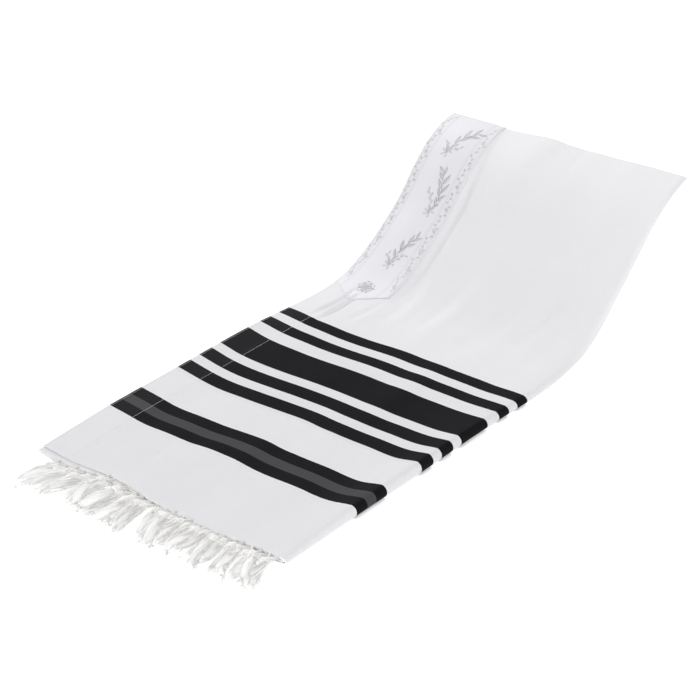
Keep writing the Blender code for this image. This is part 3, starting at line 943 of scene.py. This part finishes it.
def profile(tree, share, points):
    """A curve through a few (share, value) points."""
    made = node(tree, "ShaderNodeFloatCurve", Value=share)
    mapping = made.socket.node.mapping
    curve = mapping.curves[0]
    curve.points[0].location, curve.points[1].location = points[0], points[-1]
    for point in points[1:-1]:
        curve.points.new(*point)
    mapping.update()
    return made


def join(tree, parts):
    """Several geometries as one."""
    joined = node(tree, "GeometryNodeJoinGeometry")
    for part in parts:
        tree.links.new(part.socket, joined.socket.node.inputs[0])
    return joined


def tube(tree, curve, radius, sides, scale=1.0):
    """A tube along curves, whose thickness can change on the way."""
    ring = node(tree, "GeometryNodeCurvePrimitiveCircle", Resolution=sides, Radius=radius)
    kind = "GeometryNodeCurveToMesh"
    return node(tree, kind, Curve=curve, Profile_Curve=ring, Scale=scale, Fill_Caps=True)


# %% The tassel tree
SPREAD_OF_ROOTS = ((0.0, 1.0), (0.08, 0.92), (0.20, 0.30), (0.28, 0.10), (1.0, 0.20))
SIZE_OF_BUNCH = (
    (0.0, 0.20), (0.10, 0.24), (0.20, 0.42), (0.29, 0.42), (0.42, 0.86), (0.86, 1.0), (1.0, 0.84),
)
PLY_TAPER = ((0.0, 0.70), (0.22, 0.70), (0.30, 0.80), (0.45, 1.0), (0.88, 1.0), (1.0, 0.60))
CORE_START, CORE_END = 0.26, 0.95
SIZE_OF_CORE = ((0.0, 0.30), (0.10, 0.44), (0.26, 0.84), (0.80, 1.0), (0.94, 0.76), (1.0, 0.35))
STRAND_POINTS, WRAP_POINTS, CORE_POINTS = 13, 30, 12
WRAP_START, WRAP_LENGTH, WRAP_TURNS = 0.20, 0.095, 2.6
TWIST, KINKS, KINK_SIZE = 1.8, 17.0, 0.0011
CHANCES = (
    ("turn", 0.0, 2.0 * math.pi), ("depth", None, None), ("aside", -1.0, 1.0), ("up", -1.0, 1.0),
    ("long", 0.74, 1.04), ("stout", 0.75, 1.15),
)


def tassel_place(tree, given, share, aside, lift, lowest):
    """The place of a point in its tassel, from its share of the length and two offsets."""
    root_x, root_y, root_z = apart(tree, stored(tree, "root", "FLOAT_VECTOR"))
    lean = share.math("POWER", 2.0) * stored(tree, "hook") + stored(tree, "lean")
    forward = share * stored(tree, "reach")
    x = lean.sine() * forward + root_x + lean.cosine() * aside
    y = root_y - lean.cosine() * forward + lean.sine() * aside
    up = soft_step(tree, share, From_Max=0.25, To_Min=root_z, To_Max=given["Tuft height"])
    down = soft_step(tree, share, From_Min=0.55, To_Max=given["Droop"])
    return node(tree, "ShaderNodeCombineXYZ", x, y, (up - down + lift).math("MAXIMUM", lowest))


def bent_lines(tree, points, point_count, place_of, fixed_share=None):
    """A straight line on every point, then each line's own points moved to their place."""
    line = node(tree, "GeometryNodeCurvePrimitiveLine", End=(0.0, -0.01, 0.0))
    line = node(tree, "GeometryNodeResampleCurve", Curve=line, Count=point_count)
    lines = node(tree, "GeometryNodeInstanceOnPoints", Points=points, Instance=line)
    lines = node(tree, "GeometryNodeRealizeInstances", lines)
    share = along_line(tree)
    lines = store(tree, lines, "along_strand", share if fixed_share is None else fixed_share)
    return node(tree, "GeometryNodeSetPosition", Geometry=lines, Position=place_of(share))


def tassel_tree():
    """A full core, plies round it, loose fibres and a wound knot for every root point."""
    tree, given = new_tree(
        "knotted_tassels", Plies="Int", Fibres="Int", Ply_radius="Float", Fibre_radius="Float",
        Tuft_radius="Float", Root_spread="Float", Tuft_height="Float", Droop="Float",
        Wildness="Float", Seed="Int", Material="Material",
    )
    size = given["Tuft radius"] * stored(tree, "plump")
    position = node(tree, "GeometryNodeInputPosition")
    roots = store(tree, given["Geometry"], "root", position, "FLOAT_VECTOR")

    def strands(kind, radius, sides, first_seed, depths, wildness):
        """Copies of every root point, each grown into one strand of its tassel."""
        duplicate = "GeometryNodeDuplicateElements"
        copies = node(tree, duplicate, Geometry=roots, Amount=given[kind], domain="POINT")
        points = store(tree, copies, "strand", Reading(copies.socket.node.outputs[1]))
        for k, (name, low, high) in enumerate(CHANCES):
            low, high = depths if low is None else (low, high)
            seed = given["Seed"] + float(first_seed + k)
            points = store(tree, points, name, random_between(tree, low, high, seed))
        points = store(tree, points, "reach", stored(tree, "length") * stored(tree, "long"))

        def strand_place(share):
            side = stored(tree, "strand").math("MODULO", 2.0) * -2.0 + 1.0
            bunch = profile(tree, share, SIZE_OF_BUNCH) * size * stored(tree, "depth").math("SQRT")
            turn = share * TWIST + stored(tree, "turn")
            roots_apart = profile(tree, share, SPREAD_OF_ROOTS) * given["Root spread"]
            loose = share.math("POWER", 3.0) * wildness
            kink = (share * KINKS + turn * 3.0).sine() * share * KINK_SIZE
            aside = bunch * turn.cosine() + side * roots_apart + loose * stored(tree, "aside") + kink
            lift = bunch * 0.8 * turn.sine() + loose * 0.5 * stored(tree, "up")
            return tassel_place(tree, given, share, aside, lift, radius)

        lines = bent_lines(tree, points, STRAND_POINTS, strand_place)
        taper = profile(tree, along_line(tree), PLY_TAPER)
        return tube(tree, lines, radius, sides, taper * stored(tree, "stout"))

    wild = given["Wildness"]
    plies = strands("Plies", given["Ply radius"], 6, 0, (0.25, 0.85), wild)
    fibres = strands("Fibres", given["Fibre radius"], 3, 20, (0.75, 1.3), wild * 1.6)
    knots = store(tree, roots, "reach", stored(tree, "length"))

    def wrap_place(share):
        turn, out = share * (2.0 * math.pi * WRAP_TURNS), size * 0.50
        here = share * WRAP_LENGTH + WRAP_START
        aside, lift = out * turn.cosine(), out * 0.85 * turn.sine()
        return tassel_place(tree, given, here, aside, lift, given["Ply radius"])

    def core_place(share):
        here = share * (CORE_END - CORE_START) + CORE_START
        return tassel_place(tree, given, here, 0.0, 0.0, size * 0.90)

    wrap_line = bent_lines(tree, knots, WRAP_POINTS, wrap_place, 0.5)
    wraps = tube(tree, wrap_line, given["Tuft radius"] * 0.30, 7)
    core_line = bent_lines(tree, knots, CORE_POINTS, core_place, 0.6)
    fullness = profile(tree, along_line(tree), SIZE_OF_CORE) * stored(tree, "plump")
    core = tube(tree, core_line, given["Tuft radius"], 10, fullness)
    return finish_tree(tree, given, join(tree, (plies, fibres, wraps, core)))


# %% Grow the three rows of the fringe
TASSEL_PITCH = FOLDED_WIDTH / 15
ROWS = table(
    "name node hem start end depth tuft droop size length seed",
    ("fringe_of_top_layer", "fringe_top", HEM,
     -0.086, 0.194, 0.0009, 0.0125, 0.0040, 0.0072, 0.085, 11),
    ("fringe_of_middle_layers", "fringe_middle", MIDDLE_HEM,
     -0.160, 0.194, 0.0040, 0.0100, 0.0015, 0.0072, 0.083, 23),
    ("fringe_of_lowest_layer", "fringe_bottom", LOWEST_HEM,
     -0.1505, 0.186, 0.0075, 0.0084, 0.0, 0.0070, 0.085, 37),
)
LEAN_AT = (-0.21, -0.15, -0.115, -0.07, 0.0, 0.06, 0.12, 0.16, 0.215)
LEANS = (-24.0, -20.0, -9.0, -1.0, 7.0, 13.0, 14.0, 16.0, 14.0)
LEAN_CHANCE, HOOK_CHANCE = 8.0, 14.0
ROOT_INSET = 0.0005
TASSEL_VALUES = {
    "Plies": 13, "Fibres": 18, "Ply_radius": 0.0017, "Fibre_radius": 0.00040,
    "Root_spread": 0.0060, "Wildness": 0.0024, "Material": fringe_yarn,
}
fringe_tree = tassel_tree()
fringes = []
for row in ROWS:
    chance = random.Random(row.seed)
    own = {"lean": [], "length": [], "hook": [], "plump": []}
    places = []
    middle = row.start
    while middle <= row.end:
        places.append(middle)
        lean = np.interp(middle, LEAN_AT, LEANS)
        own["lean"].append(math.radians(lean + chance.uniform(-LEAN_CHANCE, LEAN_CHANCE)))
        own["length"].append(row.length * chance.uniform(0.90, 1.06))
        own["hook"].append(math.radians(chance.uniform(-HOOK_CHANCE, HOOK_CHANCE)))
        own["plump"].append(chance.uniform(0.82, 1.14))
        middle += TASSEL_PITCH
    x = np.array(places)
    hem_along = hem_shift(x + FOLDED_WIDTH / 2.0, np.zeros_like(x), row.hem)
    height = stack_height(x / FOLDED_WIDTH + 0.5, np.zeros_like(x)) - row.depth
    root_points = np.stack([x, FRINGE_EDGE_Y + hem_along + ROOT_INSET, height], -1)
    source = bpy.data.meshes.new(row.name + "_roots")
    source.from_pydata(root_points.tolist(), [], [])
    for name, values in own.items():
        source.attributes.new(name, "FLOAT", "POINT").data.foreach_set("value", values)
    print(f"{row.name}: {len(places)} tassels")
    fringes.append((row, grow(row.name, source, fringe_tree, {
        **TASSEL_VALUES, "Tuft_radius": row.size, "Tuft_height": row.tuft, "Droop": row.droop,
        "Seed": row.seed,
    })))

# %% [markdown]
# ## Sewing
#
# Stitches hold the band on and a facing behind the neck edge. Each line of stitches is drawn flat,
# as across and along, and a node tree sets one small stitch after another on it. Only then is the
# finished line laid on the cloth, by the same rule that shaped the cloth.

# %% The stitch tree
def points_along(tree, path, pitch):
    """Points a pitch apart on a path, and the turn that lets each face along it."""
    path = node(tree, "GeometryNodeResampleCurve", Curve=path, Length=pitch, mode="LENGTH")
    path = store(tree, path, "direction", node(tree, "GeometryNodeInputTangent"), "FLOAT_VECTOR")
    path = store(tree, path, "share", along_line(tree))
    path = store(tree, path, "number", along_line(tree, "Index"))
    points = node(tree, "GeometryNodeCurveToPoints", Curve=path, mode="EVALUATED")
    direction = stored(tree, "direction", "FLOAT_VECTOR")
    return points, node(tree, "FunctionNodeAlignRotationToVector", Vector=direction, axis="Y")


def stitch_tree():
    """Short rounded stitches, a pitch apart, along every edge of a flat mesh."""
    tree, given = new_tree(
        "running_stitches", Pitch="Float", Stitch_length="Float", Thread_radius="Float",
        Material="Material",
    )
    path = node(tree, "GeometryNodeMeshToCurve", Mesh=given["Geometry"])
    points, facing = points_along(tree, path, given["Pitch"])
    half, radius = given["Stitch length"] * 0.5, given["Thread radius"]
    start = node(tree, "ShaderNodeCombineXYZ", None, half * -1.0)
    end = node(tree, "ShaderNodeCombineXYZ", None, half)
    line = node(tree, "GeometryNodeCurvePrimitiveLine", Start=start, End=end)
    line = node(tree, "GeometryNodeResampleCurve", Curve=line, Count=5)
    arch = (along_line(tree) * math.pi).sine() * radius
    rise = node(tree, "ShaderNodeCombineXYZ", None, None, arch)
    line = node(tree, "GeometryNodeSetPosition", Geometry=line, Offset=rise)
    stitch = tube(tree, line, radius, 5)
    kind = "GeometryNodeInstanceOnPoints"
    stitches = node(tree, kind, Points=points, Instance=stitch, Rotation=facing)
    return finish_tree(tree, given, stitches)


def lay_on_cloth(obj, lift):
    """Moves a piece made flat, as across, along and up, to its place on the folded cloth."""
    points = np.empty(len(obj.data.vertices) * 3, np.float32)
    obj.data.vertices.foreach_get("co", points)
    across, along, up = points.reshape(-1, 3).astype(float).T
    laid = on_cloth(across, along, up + lift)
    obj.data.vertices.foreach_set("co", laid.astype(np.float32).ravel())
    obj.data.update()


def grow_on_lines(name, lines, tree, lift=None, **values):
    """Runs a tree on flat lines of (across, along) points, and lays the result on the cloth."""
    points, edges = [], []
    for line in lines:
        first = len(points)
        points += [(across, along, 0.0) for across, along in line]
        edges += [(first + k, first + k + 1) for k in range(len(line) - 1)]
    mesh = bpy.data.meshes.new(name + "_lines")
    mesh.from_pydata(points, edges, [])
    piece = grow(name, mesh, tree, values)
    if lift is not None:
        lay_on_cloth(piece, lift)
    return piece


# %% Sew the lines
EDGE_LINE = 0.0035
BAND_LIFT = SEAM_GAP + BAND_THICKNESS
BAND_STITCH_INSET = 0.0022
BAND_STITCH_END = FLAT_END - 0.002
stitch_values = {
    "Pitch": 0.0028, "Stitch_length": 0.0021, "Thread_radius": 0.00016, "Material": sewing_thread,
}
stitches = stitch_tree()
cloth_lines = [
    [(EDGE_LINE, 0.006), (EDGE_LINE, 0.590)],
    [(FACING_WIDTH, 0.006), (FACING_WIDTH, 0.556)],
]
cloth_stitches = grow_on_lines("facing_stitches", cloth_lines, stitches, 0.0, **stitch_values)
left, right = BAND_EDGE_INSET + BAND_STITCH_INSET, BAND_EDGE_INSET + BAND_WIDTH - BAND_STITCH_INSET
shoulder = BAND_START + BAND_POINT + BAND_STITCH_INSET * 0.7
band_line = [
    (left, BAND_STITCH_END),
    (left, shoulder),
    (BAND_EDGE_INSET + BAND_WIDTH / 2.0, BAND_START + BAND_STITCH_INSET * 1.2),
    (right, shoulder),
    (right, BAND_STITCH_END),
]
band_stitches = grow_on_lines("band_stitches", [band_line], stitches, BAND_LIFT, **stitch_values)

# %% [markdown]
# ## Embroidery on the band
#
# The band carries sprigs of leaves, a running vine down each border and a small rosette at its
# end, all in silver thread. A leaf is drawn once, as threads round its outline, with a paler leaf
# as the fill inside it. A tree then sets leaves along a stem, to its left and right in turn. The
# leaves here are plain ones of a common kind.

# %% One leaf
LEAF_SHAPE = ((0.0, 0.0), (0.18, 0.62), (0.42, 1.0), (0.70, 0.72), (1.0, 0.0))


def solid_leaf(name, length, width, thickness):
    """A pointed leaf with a raised middle, lying along +Y from the origin."""
    points, faces = [], []
    for share, wide in LEAF_SHAPE:
        side, along = width * wide / 2.0, length * share
        points += [(-side, along, 0.0), (0.0, along, thickness * math.sqrt(wide)), (side, along, 0.0)]
    for k in range(len(LEAF_SHAPE) - 1):
        a, b = 3 * k, 3 * (k + 1)
        faces += [(a, a + 1, b + 1, b), (a + 1, a + 2, b + 2, b + 1), (a, b, b + 2, a + 2)]
    mesh = bpy.data.meshes.new(name)
    mesh.from_pydata(points, [], faces)
    leaf = bpy.data.objects.new(name, mesh)
    bpy.context.scene.collection.objects.link(leaf)
    return leaf


def leaf_outline(length, width):
    """Flat lines round a pointed leaf and down its middle."""
    left = [(-width * wide / 2.0, length * share) for share, wide in LEAF_SHAPE]
    right = [(-across, along) for across, along in reversed(left)]
    return [left + right[1:], [(0.0, 0.0), (0.0, length * 0.8)]]


# %% The laid thread tree and the sprig tree
def thread_tree():
    """A thin tube along every edge of a flat mesh."""
    tree, given = new_tree("laid_threads", Thread_radius="Float", Material="Material")
    path = node(tree, "GeometryNodeMeshToCurve", Mesh=given["Geometry"])
    return finish_tree(tree, given, tube(tree, path, given["Thread radius"], 5))


def sprig_tree():
    """A stem along each edge line, with leaves to its left and right in turn."""
    tree, given = new_tree(
        "leaves_on_a_stem", Leaf="Object", Leaf_pitch="Float", Leaf_angle="Float",
        Stem_radius="Float", Seed="Int", Material="Material",
    )
    path = node(tree, "GeometryNodeMeshToCurve", Mesh=given["Geometry"])
    stems = tube(tree, path, given["Stem radius"], 5)
    points, facing = points_along(tree, path, given["Leaf pitch"])
    side = stored(tree, "number").math("MODULO", 2.0) * -2.0 + 1.0
    angle = side * given["Leaf angle"] + random_between(tree, -0.15, 0.15, given["Seed"])
    turned = node(tree, "FunctionNodeAxisAngleToRotation", Angle=angle)
    facing = node(tree, "FunctionNodeRotateRotation", facing, turned, rotation_space="LOCAL")
    size = ((stored(tree, "share") * 0.75 + 0.06) * math.pi).sine() * 0.55 + 0.45
    leaf = node(tree, "GeometryNodeObjectInfo", Object=given["Leaf"], output="Geometry")
    kind = "GeometryNodeInstanceOnPoints"
    leaves = node(tree, kind, Points=points, Instance=leaf, Rotation=facing, Scale=size)
    return finish_tree(tree, given, join(tree, (stems, leaves)))


laid_threads, stem_leaves = thread_tree(), sprig_tree()


# %% Embroider the sprigs
def arc_line(start, end, bow, count):
    """Flat points from start to end, bowed to one side by a share of the length."""
    start, end = np.array(start), np.array(end)
    run = end - start
    aside = np.array([-run[1], run[0]]) * bow
    return [tuple(start + run * t + aside * math.sin(math.pi * t)) for t in np.linspace(0.0, 1.0, count)]


def on_circle(middle, radius, angle):
    """A flat point on a circle."""
    return middle[0] + radius * math.cos(angle), middle[1] + radius * math.sin(angle)


def ring_line(middle, radius, count):
    """Flat points round a circle, back to the first one."""
    return [on_circle(middle, radius, angle) for angle in np.linspace(0.0, 2.0 * math.pi, count)]


LEAF_SIZE, BUD_SIZE = (0.0185, 0.0046), (0.0070, 0.0034)
STAR_RADIUS, STAR_ANGLES = 0.0048, (0.3, 1.2, 2.2, 3.1, 4.1, 5.2)
SPRIGS = (
    ((0.055, 0.647), (0.071, 0.698), 0.10),
    ((0.065, 0.744), (0.058, 0.806), -0.12),
    ((0.044, 0.836), (0.073, 0.876), 0.10),
)
TWIGS = (
    ((0.058, 0.652), (0.071, 0.668), 0.10),
    ((0.053, 0.650), (0.043, 0.664), 0.10),
    ((0.062, 0.752), (0.048, 0.776), -0.10),
    ((0.066, 0.748), (0.073, 0.762), 0.10),
    ((0.048, 0.838), (0.062, 0.846), 0.08),
    ((0.043, 0.839), (0.036, 0.850), 0.08),
)
outline_values = {"Thread_radius": 0.00032, "Material": silver_thread}
leaf_threads = grow_on_lines("leaf_threads", leaf_outline(*LEAF_SIZE), laid_threads, **outline_values)
bud_threads = grow_on_lines("bud_threads", leaf_outline(*BUD_SIZE), laid_threads, **outline_values)
leaf = solid_leaf("leaf", *LEAF_SIZE, 0.0002)
small_leaf = solid_leaf("small_leaf", 0.0062, 0.0027, 0.0003)


def embroider(name, lines, leaf, pitch, angle, seed, thread):
    """Stems with leaves along flat lines, laid on the band."""
    return grow_on_lines(
        name, lines, stem_leaves, BAND_LIFT, Leaf=leaf, Leaf_pitch=pitch, Leaf_angle=angle,
        Stem_radius=0.0003, Seed=seed, Material=thread,
    )


stems = [arc_line(*sprig, 12) for sprig in SPRIGS]
sprigs = embroider("leaf_sprigs", stems, leaf_threads, 0.0064, 0.46, 3, silver_thread)
sprig_fill = embroider("sprig_fill", stems, leaf, 0.0064, 0.46, 3, leaf_thread)
twigs = [arc_line(*twig, 8) for twig in TWIGS]
for foot, _, _ in SPRIGS:
    twigs += [[foot, on_circle(foot, STAR_RADIUS, angle)] for angle in STAR_ANGLES]
buds = embroider("sprig_buds", twigs, bud_threads, 0.0056, 0.65, 4, silver_thread)

# %% Embroider the vines along both borders
VINES_ACROSS = (0.0095, 0.0895)
VINE_PERIOD, VINE_SWING = 0.036, 0.0030
vine_lines, blossom_lines = [], []
for across in VINES_ACROSS:
    vine_lines.append([
        (across + VINE_SWING * math.sin((along - 0.6) * 2.0 * math.pi / VINE_PERIOD), along)
        for along in np.arange(0.602, FLAT_END - 0.008, 0.002)
    ])
    for along in np.arange(0.612, FLAT_END - 0.012, VINE_PERIOD):
        blossom_lines += [ring_line((across, along), radius, 13) for radius in (0.0012, 0.0028)]
vines = embroider("border_vines", vine_lines, small_leaf, 0.0066, 0.9, 8, pale_thread)
blossoms = grow_on_lines(
    "border_blossoms", blossom_lines, laid_threads, BAND_LIFT,
    Thread_radius=0.00036, Material=pale_thread,
)

# %% Embroider the rosette
ROSETTE = (0.0526, 0.5935)
PETALS, PETAL_OUT, PETAL_LENGTH, PETAL_WIDTH = 6, 0.0062, 0.0036, 0.0029
petal_lines = []
for k in range(PETALS):
    facing = 2.0 * math.pi * k / PETALS + 0.3
    for scale in (1.0, 0.55):
        line = []
        for turn in np.linspace(0.0, 2.0 * math.pi, 15):
            out = PETAL_OUT + PETAL_LENGTH * scale * math.cos(turn)
            side = PETAL_WIDTH * scale * math.sin(turn)
            line.append(on_circle(on_circle(ROSETTE, out, facing), side, facing + math.pi / 2.0))
        petal_lines.append(line)
petal_lines += [ring_line(ROSETTE, radius, 15) for radius in (0.0012, 0.0024)]
rosette = grow_on_lines(
    "rosette_petals", petal_lines, laid_threads, BAND_LIFT,
    Thread_radius=0.00042, Material=silver_thread,
)
ring = [ring_line(ROSETTE, 0.0120, 33)]
rosette_ring = embroider("rosette_ring", ring, small_leaf, 0.0068, 0.5, 5, silver_thread)
embroidery = [sprigs, sprig_fill, buds, vines, blossoms, rosette, rosette_ring]
for obj in (leaf, small_leaf, leaf_threads, bud_threads):
    bpy.data.objects.remove(obj)

# %% [markdown]
# ## The eyelet in the corner
#
# A small hole near the fringed corner is edged with close stitches that all point at its centre.
# Here it is a ring of short laid threads, which point at its centre in the same way.

# %% Sew the eyelet
EYELET, EYELET_INSIDE, EYELET_OUTSIDE, SPOKES = (0.053, 0.048), 0.00121, 0.00275, 18
spokes = []
for k in range(SPOKES):
    angle = 2.0 * math.pi * k / SPOKES
    spokes.append([on_circle(EYELET, radius, angle) for radius in (EYELET_INSIDE, EYELET_OUTSIDE)])
eyelet = grow_on_lines(
    "corner_eyelet", spokes, laid_threads, 0.0, Thread_radius=0.00030, Material=sewing_thread,
)

# %% [markdown]
# ## Floor and light
#
# The shawl is shown on plain white, so the floor is a large pale sheet that glows a little, and
# much of the light comes from all around. Of the four lamps, the broad one in front lights the
# whole cloth, the left one shows its folds, and the two weak ones lift the raised slope and the
# side of the lengthwise fold.

# %% Floor and lamps
FLOOR_HALF, FLOOR_DROP = 7.0, 0.0004
FLOOR_GLOW = 0.35
WORLD_LIGHT = 0.42
PURE_WHITE = (1.0, 1.0, 1.0, 1.0)
floor_corners = [
    (x * FLOOR_HALF, y * FLOOR_HALF, -FLOOR_DROP) for x, y in ((-1, -1), (1, -1), (1, 1), (-1, 1))
]
floor_mesh = bpy.data.meshes.new("floor")
floor_mesh.from_pydata(floor_corners, [], [(0, 1, 2, 3)])
floor = bpy.data.objects.new("floor", floor_mesh)
bpy.context.scene.collection.objects.link(floor)
floor_glow = {"Emission Color": PURE_WHITE, "Emission Strength": FLOOR_GLOW}
floor_finish, _, _ = new_finish("floor_paper", (0.97, 0.97, 0.97), 0.9, 0.0, **floor_glow)
floor_mesh.materials.append(floor_finish)

world = bpy.data.worlds.new("studio")
world.use_nodes = True
fill(world.node_tree.nodes["Background"], {0: PURE_WHITE, 1: WORLD_LIGHT})
bpy.context.scene.world = world


def add_lamp(name, place, target, size, power):
    """A square area lamp that points at a target."""
    data = bpy.data.lights.new(name, "AREA")
    data.size, data.energy = size, power
    lamp = bpy.data.objects.new(name, data)
    bpy.context.scene.collection.objects.link(lamp)
    lamp.location = place
    lamp.rotation_euler = (Vector(target) - Vector(place)).to_track_quat("-Z", "Y").to_euler()


add_lamp("front_lamp", (1.0, -3.0, 1.75), (0.0, 0.2, 0.1), 1.6, 71.0)
add_lamp("far_lamp", (0.22, 1.00, 1.30), (0.1, 0.45, 0.15), 0.8, 5.0)
add_lamp("left_lamp", (-2.0, 1.3, 0.9), (0.0, 0.2, 0.1), 0.8, 32.0)
add_lamp("right_lamp", (2.2, 0.1, 0.6), (0.2, 0.1, 0.02), 0.8, 4.5)
bpy.context.scene.view_settings.view_transform = "Standard"

# %% [markdown]
# ## Attach the pieces
#
# Every piece rides on the one rigid body, and each woven piece stands for the solid that it
# dresses, which is hidden.

# %% Attach each piece and hide the solid it stands for
for piece, stands_for, slot in (
    (outer_cloth, "outer_cloth", "white_wool"),
    (inner_half, "inner_layers", "white_wool_inside"),
    (neck_band, "neck_band", "white_satin"),
    *((piece, row.node, row.node + "_yarn") for row, piece in fringes),
    (cloth_stitches, None, "white_wool"),
    (eyelet, None, "white_wool"),
    *((piece, None, "white_satin") for piece in (band_stitches, *embroidery)),
):
    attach(piece, "root")
    if stands_for:
        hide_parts(stands_for)
